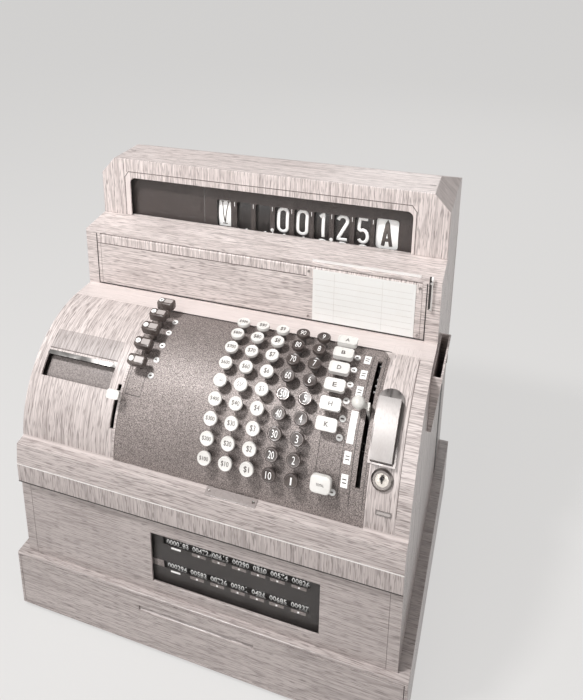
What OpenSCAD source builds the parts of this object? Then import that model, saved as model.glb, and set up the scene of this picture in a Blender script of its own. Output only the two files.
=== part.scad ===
// Register with a curved keyboard, an indicator hood and a cash drawer.
// The working shapes are drawn about the keyboard axis: X right, Y back, Z up.

/* [Cabinet] */
// Width of the register cabinet
cabinet_w = 478; // [472:1:484]
// Thickness of the cabinet's sheet
wall = 3; // [2.5:0.1:3.2]
// Height of the keyboard axis above the cabinet's lower edge
axis_rise = 155; // [150:1:170]
// Distance from the keyboard axis forward to the lower front face
lower_reach = 155; // [153:0.5:160]
// Distance from the keyboard axis back to the rear face
rear_reach = 250; // [248:1:260]
// How far the banded front rail stands out from the lower front face
rail_proud = 5; // [3:0.5:8]
// Height of the banded front rail
rail_h = 27; // [24:1:30]
// Height of the wrist ledge above the keyboard axis
ledge_z = 15; // [14:0.5:16]
// Distance from the keyboard axis back to the printer lid's face
lid_y = 34; // [32:0.5:36]
// Height of the shelf's front edge above the keyboard axis
shelf_z = 225.6; // [224:0.2:228]
// Height of the cabinet top above the keyboard axis
top_z = 231.5; // [231:0.5:234]

/* [Keyboard] */
// Radius of the key plate's outer face
plate_r = 142.5; // [141:0.5:143]
// Thickness of the key plate
plate_t = 2.5; // [2:0.1:3]
// Left edge of the key plate
plate_left = -109; // [-112:0.5:-107]
// Right edge of the key plate
plate_right = 191; // [190:0.5:192]
// Slope of the lowest key row above the horizontal
first_row = 20.6; // [20:0.1:21]
// Angle between key rows
row_step = 8; // [7.9:0.05:8.1]
// Distance between the amount key columns
column_pitch = 25.4; // [24.5:0.1:25.6]
// Position of the left amount column
first_column = 11.2; // [10:0.2:12]
// Diameter of an amount key's head
key_d = 16; // [14:0.5:17]
// Height of an amount key's top above the key plate
key_rise = 15.2; // [14:0.2:17]
// Travel of a key
key_travel = 4.5; // [3:0.5:5]
// Diameter of a key stem
stem_d = 7; // [6:0.5:7.5]
// Radial clearance of a sliding stem in the guide
slide_gap = 0.08; // [0.05:0.01:0.1]
// Clearance round moving pieces that pass through a cover
cover_gap = 0.4; // [0.3:0.1:0.6]
// Width of a department key
dept_w = 23; // [20:0.5:24]
// Length of a department key along the arc
dept_l = 14.5; // [13:0.5:15.5]
// Position of the department column
dept_x = 141.5; // [140:0.5:143]
// Position of the clerk column
clerk_x = -95; // [-96:0.5:-92]
// Height of a clerk key's top above the key plate
clerk_rise = 23.6; // [20:0.2:23.8]

/* [Levers and motor bar] */
// Diameter of the frame shafts
shaft_d = 12; // [10:0.5:14]
// Radial clearance of a hub on its shaft
shaft_gap = 0.06; // [0.03:0.01:0.1]
// Position of the control lever's slot
control_x = 181.5; // [181:0.5:183]
// Thickness of a lever arm
arm_t = 3; // [2:0.5:3.5]
// Diameter of the control lever's ball
ball_d = 15; // [13:0.5:17]
// Position of the receipt lever's slot
receipt_x = -115; // [-118:0.5:-115]
// Width of the motor bar
bar_w = 23.4; // [21:0.2:24]
// Length of the motor bar
bar_l = 67; // [60:1:68]
// Position of the motor bar's centre line
bar_x = 203; // [202.5:0.5:204]
// Height of the motor bar's top above the console
bar_rise = 12.5; // [10:0.5:14]
// Travel of the motor bar
bar_travel = 3.5; // [2:0.5:4]
// Diameter of the lock's bezel
lock_d = 23; // [21:0.5:23.5]

/* [Indicator hood] */
// Height of the hood
hood_h = 83; // [80:1:86]
// Distance from the keyboard axis back to the hood's front
hood_y = 86; // [85:0.5:88]
// Depth of the hood from its front to its back
hood_l = 160; // [158:1:164]
// Depth of the hood's flat top
hood_top_l = 70; // [66:1:72]
// Width of the hood's corner chamfer
hood_chamfer = 20.5; // [15:0.5:24]
// Width of the indicator window
window_w = 390; // [380:1:400]
// Height of the indicator window
window_h = 56; // [52:1:58]
// Radius of an indicator wheel
wheel_r = 60; // [56:1:61]
// Distance between the figure wheels
wheel_pitch = 26.8; // [26.2:0.1:27.2]
// Width of a figure wheel
wheel_w = 22; // [18:0.5:23]
// Position of the first figure wheel
first_wheel = -29.3; // [-30:0.1:-28.5]

/* [Printer lid] */
// Width of the printer lid
lid_w = 434; // [430:1:436]
// Thickness of the printer lid's sheet
lid_t = 2.5; // [2:0.1:2.8]
// Height of the sill below the printer lid
lid_sill = 4; // [4:0.2:6]
// Width of the price card
card_w = 125; // [110:1:130]
// Height of the price card
card_h = 70; // [62:1:72]

/* [Slip pocket] */
// How far the pocket stands out from the cabinet's side
pocket_out = 12.5; // [8:0.5:12.5]
// Length of the pocket
pocket_l = 100; // [80:1:120]
// Height of the pocket
pocket_h = 74; // [60:1:90]

/* [Totals window] */
// Width of the totals window
totals_w = 208; // [180:1:220]
// Height of the totals window
totals_h = 74; // [70:1:76]
// Radius of a totals counter
counter_r = 13; // [11:0.5:14]

/* [Cash drawer] */
// Width of the drawer's case
base_w = 504; // [500:1:520]
// Height of the drawer's case
base_h = 84; // [80:1:100]
// Thickness of the drawer case's walls
base_wall = 4; // [3:0.5:6]
// Height of the feet
foot_h = 6; // [4:0.5:10]
// Diameter of a foot
foot_d = 26; // [20:1:30]
// Thickness of the drawer's sheet
drawer_t = 2.5; // [2:0.1:3]
// Running clearance of the drawer in its case
drawer_gap = 0.6; // [0.4:0.1:1]
// Depth of a coin cup
cup_depth = 28; // [20:1:32]

/* [Hidden] */
$fn = 64;

half_w = cabinet_w / 2;
base_front = lower_reach + rail_proud + 4;
base_back = rear_reach + 4;
axis_y = (base_front - base_back) / 2;
axis_z = foot_h + base_h + axis_rise;
low_z = -axis_rise;
cheek_r = plate_r + 0.6;
rail_low = -41.4;
rail_high = rail_low + rail_h;
ledge_front = lower_reach + 1;
strip_z = cheek_r + 0.2;

plate_low_a = 6;
plate_in_r = plate_r - plate_t;
guide_r = 118.5;
guide_t = 2.5;
guide_left = plate_left + 3;
guide_right = control_x - 6.5;
cheek_plate_t = 3;
stem_low = guide_r - guide_t - key_travel - 3;
collar_d = stem_d + 4;
collar_t = 3;
dept_rows = [9, 8, 7, 6, 5, 4];
clerk_rows = [9, 8, 7, 6, 5];
dept_rise = key_rise + 1.5;
total_x = dept_x + 3.2;
total_a = first_row + 1.7;
total_w = 24;
total_l = 22;
clerk_w = 20;
clerk_l = 11;

tie_r = 108;
tie_low_a = 13;
tie_high_a = 96;
frame_x = half_w - wall - 6;
frame_t = 3;
shaft_half = half_w - wall - 0.3;
indicator_y = hood_y + 16 + wheel_r;
indicator_z = top_z + 11.5;

control_a = 55;
control_low_a = 22.5;
control_high_a = 82;
lever_w = 9;
control_up = 22;
control_down = 27;
receipt_a = 37;
receipt_down = 12;
bar_a = 48.2;
bezel_r = bar_w / 2 + 3;
lock_a = 28.6;
lock_x = 206;

lid_bead_r = 2.5;
lid_axis_y = lid_y + lid_bead_r;
lid_axis_z = shelf_z - 7.6;
lid_gap = 0.4;
lid_swing_gap = 1.4;
lid_low_z = strip_z + lid_sill + lid_gap;
pin_r = 1.5;
pin_gap = 0.06;
card_x = (lid_w - card_w) / 2 - 7;
card_z = 183;

totals_x = 46;
totals_z = -102;
panel_w = 452;
panel_high = rail_low - 4;
panel_low = low_z + 4;
glass_t = 2.5;
counter_y = -lower_reach + 26;
counter_rise = 18;
spindle_r = 3;
bracket_x = totals_w / 2 - 15;

cover_w = 400;
cover_low = low_z + 20.2;
cover_high = 200;
vent_x = 95;
vent_l = 120;
vent_w = 4;
vent_step = 12;
vent_z = -90;

outlet_left = -half_w + 14;
outlet_right = -128;
outlet_low_a = 38;
outlet_high_a = 50;

hood_back = hood_y + hood_l;

base_half = base_w / 2;
base_low = foot_h;
base_high = foot_h + base_h;
drawer_half = base_half - base_wall - drawer_gap - 3;
drawer_front = -(base_front - axis_y);
drawer_back = base_back + axis_y - base_wall - 8;
drawer_low = base_low + base_wall + drawer_gap;
drawer_high = base_high - base_wall - 3;
face_t = 6;
pocket_wall = 2;
pocket_z = 60;

// ---------- frames of reference and plain helpers ----------

module about_axis() { translate([0, axis_y, axis_z]) children(); }

// A side-view outline (depth, height) drawn out from x0 to x1
module along_x(x0, x1) { translate([x0, 0, 0]) rotate([90, 0, 90]) linear_extrude(x1 - x0) children(); }

// Stands its children on the arc of radius r at angle a above the horizontal, pointing outward
module on_arc(x, a, r) { translate([x, 0, 0]) rotate([90 - a, 0, 0]) translate([0, 0, r]) children(); }

// A box given by its two corners
module span(a, b) { translate(a) cube(b - a); }

function polar(r, a) = [-r * cos(a), r * sin(a)];

module wedge(a0, a1) {
    far = 4 * plate_r;
    polygon([[0, 0], polar(far, a0), polar(far, (a0 + a1) / 2), polar(far, a1)]);
}

module ring_sector(r_in, r_out, a0, a1) {
    intersection() {
        difference() {
            circle(r_out);
            circle(r_in);
        }
        wedge(a0, a1);
    }
}

module rounded_plate(w, l, t, r) {
    linear_extrude(t) union() {
        square([w - 2 * r, l], center = true);
        square([w, l - 2 * r], center = true);
        for (sx = [-1, 1], sy = [-1, 1]) translate([sx * (w / 2 - r), sy * (l / 2 - r)]) circle(r, $fn = 24);
    }
}

// ---------- cash drawer ----------

module drawer_case() {
    color("tan") difference() {
        span([-base_half, drawer_front, base_low], [base_half, base_back + axis_y, base_high]);
        span([-base_half + base_wall, drawer_front - 1, base_low + base_wall],
             [base_half - base_wall, base_back + axis_y - base_wall, base_high - base_wall]);
    }
}

module cash_drawer() {
    side = drawer_half;
    color("dimgray") union() {
        difference() {
            span([-side, drawer_front + face_t, drawer_low], [side, drawer_back, drawer_high]);
            span([-side + drawer_t, drawer_front + face_t + drawer_t, drawer_low + drawer_t],
                 [side - drawer_t, drawer_back - drawer_t, drawer_high + 1]);
        }
        difference() {
            span([-base_half + base_wall + drawer_gap, drawer_front, base_low + base_wall + drawer_gap],
                 [base_half - base_wall - drawer_gap, drawer_front + face_t, base_high - base_wall - drawer_gap]);
            translate([0, drawer_front, base_low + base_h - 24]) rotate([0, 90, 0])
                cylinder(r = 4, h = 150, center = true);
        }
    }
}

till_low = drawer_low + drawer_t + 0.2;
till_high = drawer_high - 2;
till_half = drawer_half - drawer_t - 1;
till_front = drawer_front + face_t + drawer_t + 1;
till_back = till_front + 330;
cup_count = 5;
till_wall = 4;
cup_w = (2 * till_half - (cup_count + 1) * till_wall) / cup_count;
cup_l = 110;
note_front = till_front + 2 * till_wall + cup_l;
note_floor = till_low + 3;
clip_y = till_back - 24;
clip_z = till_high - 8;
clip_l = 60;
clip_slope = 55;

function cup_x(n) = -till_half + till_wall + cup_w / 2 + n * (cup_w + till_wall);

module till_tray() {
    color("darkslategray") difference() {
        span([-till_half, till_front, till_low], [till_half, till_back, till_high]);
        for (n = [0:cup_count - 1]) {
            translate([cup_x(n), till_front + till_wall + cup_l / 2, till_high + 18]) intersection() {
                rotate([0, 90, 0]) cylinder(r = 62, h = cup_w, center = true);
                cube([cup_w, cup_l, 2 * (18 + cup_depth)], center = true);
            }
            span([cup_x(n) - cup_w / 2, note_front, note_floor], [cup_x(n) + cup_w / 2, till_back - till_wall, till_high + 1]);
        }
        translate([0, clip_y, clip_z]) rotate([0, 90, 0]) cylinder(r = 2.5 + shaft_gap, h = 2 * till_half - 2 * till_wall + 6, center = true);
    }
}

module note_clips() {
    color("silver") union() {
        translate([0, clip_y, clip_z]) rotate([0, 90, 0]) cylinder(r = 2.5, h = 2 * till_half - 2 * till_wall + 5, center = true);
        for (n = [0:cup_count - 1]) {
            translate([cup_x(n), clip_y, clip_z]) rotate([clip_slope, 0, 0]) union() {
                span([-9, -clip_l, -1], [9, 0, 1]);
                translate([0, -clip_l, 0]) rotate([0, 90, 0]) cylinder(r = 3, h = 18, center = true);
            }
        }
    }
}

module rubber_feet() {
    color("black") for (sx = [-1, 1], sy = [-1, 1])
        translate([sx * (base_half - 34), sy * (base_front + base_back - 70) / 2, 0])
            rotate_extrude() polygon([[0, 0], [foot_d / 2 - 2, 0], [foot_d / 2, 2], [foot_d / 2, foot_h], [0, foot_h]]);
}

// ---------- cabinet ----------

// Side-view outline of the cabinet, moved inward by i
module cabinet_outline(i) {
    polygon(i == 0
        ? [[-lower_reach, low_z], [-lower_reach, rail_low], [-lower_reach - rail_proud, rail_low],
           [-lower_reach - rail_proud, rail_high], [-ledge_front, ledge_z - 2.4], [-cheek_r * cos(plate_low_a), ledge_z],
           [0, ledge_z], [0, strip_z], [lid_y, strip_z + 0.2], [lid_y, shelf_z], [hood_y, top_z],
           [rear_reach, top_z], [rear_reach, low_z]]
        : [[-lower_reach + i, low_z - 1], [-lower_reach + i, ledge_z - 3 * i], [-cheek_r * cos(plate_low_a) + 2 * i, ledge_z - i],
           [0, ledge_z - i], [0, strip_z - i], [lid_y + i, strip_z - i], [lid_y + i, shelf_z - i], [hood_y, top_z - i],
           [rear_reach - i, top_z - i], [rear_reach - i, low_z - 1]]);
    intersection() {
        circle(cheek_r - i, $fn = 128);
        wedge(plate_low_a - 2, 90);
    }
}

// Plan mask of the key plate, with its two rear corners cut off
module plate_mask(grow) {
    left = plate_left - grow;
    right = plate_right + grow;
    translate([0, 0, -10]) linear_extrude(2 * plate_r)
        polygon([[left, -2 * plate_r], [right, -2 * plate_r], [right, -12], [right - 8, grow],
                 [left + 12, grow], [left, -12]]);
}

module key_plate_opening() {
    intersection() {
        along_x(plate_left - cover_gap, plate_right + cover_gap) ring_sector(plate_in_r - 8, plate_r + 8, plate_low_a - 0.3, 90.2);
        plate_mask(cover_gap);
    }
}

module bar_mouth(grow) {
    intersection() {
        along_x(bar_x - bar_w / 2 - grow, bar_x + bar_w / 2 + grow) ring_sector(plate_in_r - 12, plate_r + 8, 20, 90);
        on_arc(bar_x, bar_a, 0) translate([-40, -bar_l / 2 - grow, 0]) cube([80, bar_l + 2 * grow, 2 * plate_r]);
    }
}

module lid_bosses() {
    for (side = [-1, 1]) translate([side * (lid_w / 2 + lid_gap + 3.5), 0, 0])
        span([-3.5, lid_y, lid_axis_z - 6], [3.5, lid_y + 9, shelf_z - 2]);
}

module cabinet() {
    color("burlywood") about_axis() difference() {
        union() {
            difference() {
                along_x(-half_w, half_w) cabinet_outline(0);
                along_x(-half_w + wall, half_w - wall) cabinet_outline(wall);
            }
            lid_bosses();
        }
        key_plate_opening();
        bar_mouth(cover_gap);
        on_arc(lock_x, lock_a, plate_in_r - 12) cylinder(r = lock_d / 2 - 2, h = 30);
        // receipt lever slot and receipt outlet in the left cheek
        along_x(receipt_x - arm_t / 2 - 1, receipt_x + arm_t / 2 + 1)
            ring_sector(plate_in_r - 12, plate_r + 8, receipt_a - receipt_down - 4, receipt_a + 5);
        along_x(outlet_left, outlet_right) ring_sector(plate_in_r - 12, plate_r + 8, outlet_low_a, outlet_high_a);
        // printer lid opening and its pin bores
        span([-lid_w / 2 - lid_gap, lid_y - 1, strip_z + lid_sill],
             [lid_w / 2 + lid_gap, lid_y + wall + 1, lid_axis_z + lid_bead_r + lid_swing_gap]);
        translate([0, lid_axis_y, lid_axis_z]) rotate([0, 90, 0])
            cylinder(r = pin_r + pin_gap, h = lid_w + 10, center = true, $fn = 24);
        // front panel opening
        span([-panel_w / 2 - 0.2, -lower_reach - 1, low_z - 1], [panel_w / 2 + 0.2, -lower_reach + wall + 1, panel_high + 0.2]);
        // opening below the hood, and the rear cover's opening
        span([-half_w + wall + 2, hood_y + wall + 3, top_z - wall - 1], [half_w - wall - 2, min(rear_reach - 12, hood_back - 8), top_z + 1]);
        span([-cover_w / 2 - 0.2, rear_reach - wall - 1, cover_low - 0.2], [cover_w / 2 + 0.2, rear_reach + 1, cover_high + 0.2]);
    }
}

module front_panel() {
    color("burlywood") about_axis() difference() {
        span([-panel_w / 2, -lower_reach, panel_low - 4], [panel_w / 2, -lower_reach + wall, panel_high]);
        span([totals_x - totals_w / 2, -lower_reach - 1, totals_z - totals_h / 2],
             [totals_x + totals_w / 2, -lower_reach + wall + 1, totals_z + totals_h / 2]);
    }
}

module totals_glass() {
    color("lightblue", 0.4) about_axis()
        span([totals_x - totals_w / 2 - 5, -lower_reach + wall, totals_z - totals_h / 2 - 5],
             [totals_x + totals_w / 2 + 5, -lower_reach + wall + glass_t, totals_z + totals_h / 2 + 5]);
}

// One row of figure wheels turned as a barrel, with a groove beside each wheel
module counter_barrel() {
    groups = 3;
    wheels = 6;
    group_gap = 12;
    start = -bracket_x + 5;
    group_w = (-2 * start - (groups - 1) * group_gap) / groups;
    wheel = group_w / wheels - 1;
    color("white") rotate([0, 90, 0]) rotate_extrude() union() {
        translate([0, start - 8]) square([spindle_r, -2 * start + 16]);
        for (g = [0:groups - 1], w = [0:wheels - 1])
            translate([0, start + g * (group_w + group_gap) + w * (wheel + 1)]) square([counter_r, wheel]);
        for (g = [0:groups - 1])
            translate([0, start + g * (group_w + group_gap)]) square([counter_r - 1.5, group_w - 1]);
    }
}

module upper_counter() { about_axis() translate([totals_x, counter_y, totals_z + counter_rise]) counter_barrel(); }

module lower_counter() { about_axis() translate([totals_x, counter_y, totals_z - counter_rise]) counter_barrel(); }

module base_pan() {
    color("gray") about_axis() difference() {
        union() {
            span([-half_w + wall + 0.3, -lower_reach + wall + 0.3, low_z], [half_w - wall - 0.3, rear_reach - wall - 0.3, low_z + 2]);
            for (side = [-1, 1]) translate([totals_x + side * bracket_x, 0, 0])
                span([-2, counter_y - counter_r, low_z + 1], [2, counter_y + counter_r + 6, totals_z + counter_rise + 10]);
        }
        for (dz = [-counter_rise, counter_rise]) translate([totals_x, counter_y, totals_z + dz]) rotate([0, 90, 0])
            cylinder(r = spindle_r + shaft_gap, h = totals_w, center = true, $fn = 32);
    }
}

module rear_cover() {
    color("burlywood") about_axis() difference() {
        span([-cover_w / 2, rear_reach - wall, cover_low], [cover_w / 2, rear_reach, cover_high]);
        for (n = [0:7], side = [-1, 1])
            translate([side * vent_x, rear_reach, vent_z + n * vent_step]) rounded_slot(vent_l, vent_w);
    }
}

// A slot with round ends, cut through along Y
module rounded_slot(l, w) {
    rotate([90, 0, 0]) linear_extrude(4 * wall, center = true) union() {
        square([l - w, w], center = true);
        for (s = [-1, 1]) translate([s * (l - w) / 2, 0]) circle(w / 2, $fn = 24);
    }
}

// ---------- frame ----------

module at_shaft(y, z) { translate([0, y, z]) rotate([0, 90, 0]) children(); }

function tie_low() = polar(tie_r, tie_low_a);
function tie_high() = polar(tie_r, tie_high_a);

module side_frames() {
    color("slategray") about_axis() difference() {
        for (side = [-1, 1]) along_x(side * frame_x - frame_t / 2, side * frame_x + frame_t / 2)
            polygon([[-128, low_z + 2], [-128, -20], [-122, 44], [-70, 108], [0, 130], [lid_y + 16, 136],
                     [lid_y + 20, roll_z + 20], [indicator_y - 34, roll_z + 30], [indicator_y - 26, indicator_z + 22], [indicator_y + 26, indicator_z + 22], [indicator_y + 34, 120],
                     [indicator_y + 44, low_z + 2]]);
        at_shaft(0, 0) cylinder(r = shaft_d / 2 + shaft_gap, h = cabinet_w, center = true);
        at_shaft(indicator_y, indicator_z) cylinder(r = shaft_d / 2 + shaft_gap, h = cabinet_w, center = true);
        at_shaft(roll_y, roll_z) cylinder(r = shaft_d / 2 + shaft_gap, h = cabinet_w, center = true);
        at_shaft(tie_low()[0], tie_low()[1]) cylinder(r = 5 + shaft_gap, h = cabinet_w, center = true);
        at_shaft(tie_high()[0], tie_high()[1]) cylinder(r = 5 + shaft_gap, h = cabinet_w, center = true);
        for (y = [-60, 110]) at_shaft(y, -70) cylinder(r = 32, h = cabinet_w, center = true);
        at_shaft(110, 60) cylinder(r = 38, h = cabinet_w, center = true);
    }
}

module frame_shafts() {
    color("silver") about_axis() {
        at_shaft(0, 0) cylinder(r = shaft_d / 2, h = 2 * shaft_half, center = true);
        at_shaft(indicator_y, indicator_z) cylinder(r = shaft_d / 2, h = 2 * shaft_half, center = true);
        at_shaft(roll_y, roll_z) cylinder(r = shaft_d / 2, h = 2 * shaft_half, center = true);
        at_shaft(tie_low()[0], tie_low()[1]) cylinder(r = 5, h = 2 * shaft_half, center = true);
        at_shaft(tie_high()[0], tie_high()[1]) cylinder(r = 5, h = 2 * shaft_half, center = true);
    }
}

// ---------- keyboard ----------

function row_angle(row) = first_row + (row - 1) * row_step;

module key_holes(clear, r_low) {
    for (row = [1:9]) {
        for (column = [0:4]) on_arc(first_column + column * column_pitch, row_angle(row), r_low)
            cylinder(r = stem_d / 2 + clear, h = 40, $fn = 32);
    }
    for (row = dept_rows) on_arc(dept_x, row_angle(row), r_low) cylinder(r = stem_d / 2 + clear, h = 40, $fn = 32);
    for (row = clerk_rows) on_arc(clerk_x, row_angle(row), r_low) cylinder(r = stem_d / 2 + clear, h = 40, $fn = 32);
    on_arc(total_x, total_a, r_low) cylinder(r = stem_d / 2 + clear, h = 40, $fn = 32);
}

module key_plate() {
    color("dimgray") about_axis() difference() {
        intersection() {
            along_x(plate_left, plate_right) ring_sector(plate_in_r, plate_r, plate_low_a, 90);
            plate_mask(0);
        }
        key_holes(cover_gap, plate_in_r - 5);
        along_x(control_x - arm_t / 2 - 1, control_x + arm_t / 2 + 1)
            ring_sector(plate_in_r - 5, plate_r + 5, control_low_a, control_high_a);
    }
}

module key_guide() {
    color("slategray") about_axis() difference() {
        union() {
            along_x(guide_left, guide_right) ring_sector(guide_r - guide_t, guide_r, 10, 93);
            along_x(guide_left, guide_left + cheek_plate_t) ring_sector(tie_r - 9, plate_in_r - 0.1, 8.5, 89.8);
            along_x(guide_right - cheek_plate_t, guide_right) ring_sector(tie_r - 9, plate_in_r - 0.1, 8.5, 89.8);
            along_x(guide_left, guide_left + cheek_plate_t) ring_sector(tie_r - 9, guide_r, 80, 101);
            along_x(guide_right - cheek_plate_t, guide_right) ring_sector(tie_r - 9, guide_r, 80, 101);
        }
        key_holes(slide_gap, guide_r - guide_t - 5);
        at_shaft(tie_low()[0], tie_low()[1]) cylinder(r = 5 + shaft_gap, h = cabinet_w, center = true);
        at_shaft(tie_high()[0], tie_high()[1]) cylinder(r = 5 + shaft_gap, h = cabinet_w, center = true);
    }
}

// Stem with the collar that stops the key below the plate
module key_stem(top) {
    rotate_extrude($fn = 32) polygon([[0, stem_low], [stem_d / 2 - 0.6, stem_low], [stem_d / 2, stem_low + 0.6],
        [stem_d / 2, plate_in_r - collar_t - 0.6], [collar_d / 2, plate_in_r - collar_t - 0.6], [collar_d / 2, plate_in_r - 0.6],
        [stem_d / 2, plate_in_r - 0.6], [stem_d / 2, top], [0, top]]);
}

// Round key head: a tapered skirt under a dished top with a rolled edge
module round_head(top) {
    r = key_d / 2;
    rotate_extrude() polygon(concat(
        [[0, top - 6.5], [r - 2.2, top - 6.5], [r - 0.6, top - 5.2], [r, top - 3.6], [r, top - 0.9]],
        [for (a = [0:30:90]) [r - 0.9 + 0.9 * cos(a), top - 0.9 + 0.9 * sin(a)]],
        [[r - 2, top - 0.35], [0, top - 0.8]]));
}

module amount_keys(row) {
    about_axis() for (column = [0:4]) color(column < 3 ? "ivory" : "black")
        on_arc(first_column + column * column_pitch, row_angle(row), 0) union() {
            key_stem(plate_r + key_rise - 4);
            round_head(plate_r + key_rise);
        }
}

// Broad key head with a raised rim round its top
module broad_key(x, a, w, l) {
    top = plate_r + dept_rise;
    color("ivory") about_axis() on_arc(x, a, 0) union() {
        key_stem(top - 4);
        difference() {
            union() {
                translate([0, 0, top - 7]) rounded_plate(w - 2, l - 2, 2, 3);
                translate([0, 0, top - 5.5]) rounded_plate(w, l, 5.5, 3.5);
            }
            translate([0, 0, top - 0.5]) rounded_plate(w - 3, l - 3, 2, 2.4);
        }
    }
}

module dept_key(n) { broad_key(dept_x, row_angle(dept_rows[n]), dept_w, dept_l); }

module total_key() { broad_key(total_x, total_a, total_w, total_l); }

// Clerk key: an eight-sided block with a stepped top
module clerk_key(n) {
    top = plate_r + clerk_rise;
    c = 3.2;
    color("dimgray") about_axis() on_arc(clerk_x, row_angle(clerk_rows[n]), 0) union() {
        key_stem(top - 5);
        translate([0, 0, top - 9]) linear_extrude(7.5) eight_sided(clerk_w, clerk_l, c);
        translate([0, 0, top - 2]) linear_extrude(2) eight_sided(clerk_w - 2.4, clerk_l - 2.4, c - 0.7);
    }
}

module eight_sided(w, l, c) {
    polygon([[-w / 2 + c, -l / 2], [w / 2 - c, -l / 2], [w / 2, -l / 2 + c], [w / 2, l / 2 - c],
             [w / 2 - c, l / 2], [-w / 2 + c, l / 2], [-w / 2, l / 2 - c], [-w / 2, -l / 2 + c]]);
}

// ---------- levers, motor bar and lock ----------

// A lever arm on the keyboard axis, reaching out to r at angle a
module lever_arm(x, a, r) {
    along_x(x - arm_t / 2, x + arm_t / 2) difference() {
        union() {
            circle(shaft_d / 2 + 7);
            rotate(180 - a) polygon([[0, -9], [r, -lever_w / 2], [r, lever_w / 2], [0, 9]]);
        }
        circle(shaft_d / 2 + shaft_gap);
    }
    at_shaft(0, 0) translate([0, 0, x]) difference() {
        cylinder(r = shaft_d / 2 + 4, h = 14, center = true);
        cylinder(r = shaft_d / 2 + shaft_gap, h = 16, center = true);
    }
}

module control_lever() {
    ball_x = control_x - 10;
    ball_r = plate_r + 19;
    color("ivory") about_axis() union() {
        lever_arm(control_x, control_a, ball_r - 6);
        on_arc(0, control_a, ball_r - 8) span([ball_x - 2, -2.5, 0], [control_x + arm_t / 2, 2.5, 3]);
        on_arc(ball_x, control_a, ball_r - 8) cylinder(r = 2.5, h = 6);
        on_arc(ball_x, control_a, ball_r) sphere(d = ball_d);
    }
}

module receipt_lever() {
    cap_r = plate_r + 19;
    color("ivory") about_axis() union() {
        lever_arm(receipt_x, receipt_a, cap_r - 5);
        on_arc(receipt_x, receipt_a, cap_r - 6) translate([2, 0, 0]) rounded_plate(16, 11, 6, 3);
    }
}

module motor_bar() {
    color("silver") about_axis() union() {
        intersection() {
            along_x(bar_x - bar_w / 2, bar_x + bar_w / 2) ring_sector(plate_in_r - 13.5, cheek_r + bar_rise, 20, 90);
            on_arc(bar_x, bar_a, 0) translate([-40, -bar_l / 2, 0]) cube([80, bar_l, 2 * plate_r]);
        }
        // flange that stops the bar under the console
        on_arc(bar_x, bar_a, plate_in_r - 13) rounded_plate(bar_w + 4, bar_l + 1, 3, 3);
    }
}

module motor_bar_bezel() {
    color("gray") about_axis() difference() {
        intersection() {
            along_x(bar_x - bezel_r, bar_x + bezel_r) ring_sector(cheek_r, cheek_r + 1.4, 20, 90);
            on_arc(bar_x, bar_a, 0) linear_extrude(2 * plate_r) union() {
                translate([-bezel_r, -bar_l / 2 - 2.2]) square([2 * bezel_r, bar_l + 1]);
                translate([0, bar_l / 2 - 1.2]) circle(bezel_r);
            }
        }
        bar_mouth(cover_gap);
    }
}

module lock_bezel() {
    color("silver") about_axis() on_arc(lock_x, lock_a, cheek_r) difference() {
        rotate_extrude() polygon([[0, -16], [lock_d / 2 - 2.4, -16], [lock_d / 2 - 2.4, 0.4], [lock_d / 2, 0.4],
            [lock_d / 2, 2.2], [lock_d / 2 - 2, 4], [0, 4]]);
        translate([0, 0, -20]) cylinder(r = 7 + slide_gap, h = 30);
    }
}

module lock_cylinder() {
    color("gold") about_axis() on_arc(lock_x, lock_a, cheek_r) difference() {
        union() {
            translate([0, 0, -18]) cylinder(r = 7, h = 21.4);
            translate([0, 0, -18]) cylinder(r = 8.2, h = 1.7);
        }
        translate([-0.9, -3.5, -6]) cube([1.8, 7, 12]);
        translate([0, 1.6, -6]) cylinder(r = 1.7, h = 12, $fn = 24);
    }
}

// ---------- printer lid ----------

module printer_lid() {
    half = lid_w / 2;
    color("burlywood") about_axis() union() {
        span([-half, lid_y, lid_low_z], [half, lid_y + lid_t, lid_axis_z]);
        at_shaft(lid_axis_y, lid_axis_z) cylinder(r = lid_bead_r, h = lid_w, center = true, $fn = 32);
        at_shaft(lid_axis_y, lid_axis_z) cylinder(r = pin_r, h = lid_w + 9, center = true, $fn = 24);
        for (side = [-1, 1]) translate([side * (half - 2), 0, 0])
            span([-1, lid_y + 1, lid_low_z + 4], [1, lid_y + 10, lid_axis_z - 12]);
    }
}

module price_card() {
    color("white") about_axis()
        span([card_x - card_w / 2, lid_y - 0.8, card_z - card_h / 2], [card_x + card_w / 2, lid_y, card_z + card_h / 2]);
}

module slip_guide() {
    x = lid_w / 2 + 10;
    color("silver") about_axis() union() {
        span([x - 3, lid_y - 1, 188], [x + 3, lid_y, shelf_z]);
        span([x - 1, lid_y - 5, 190], [x + 1, lid_y, shelf_z + 8]);
    }
}

roll_r = 28;
roll_y = lid_y + 48;
roll_z = 182;
roll_w = 90;

module journal_roll() {
    color("white") about_axis() translate([120, 0, 0]) at_shaft(roll_y, roll_z) difference() {
        cylinder(r = roll_r, h = roll_w, center = true);
        cylinder(r = shaft_d / 2 + shaft_gap, h = roll_w + 2, center = true);
    }
}

// ---------- indicator hood ----------

hood_top = top_z + hood_h;
hood_flat_end = hood_y + hood_top_l;
hood_fall = 0.33;

module hood_outline(i) {
    polygon([[hood_y + i, top_z - (i > 0 ? 1 : 0)], [hood_y + i, hood_top - i], [hood_flat_end - 0.2 * i, hood_top - i],
             [hood_back - i, hood_top - hood_fall * (hood_back - hood_flat_end) - 1.05 * i], [hood_back - i, top_z - (i > 0 ? 1 : 0)]]);
}

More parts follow.
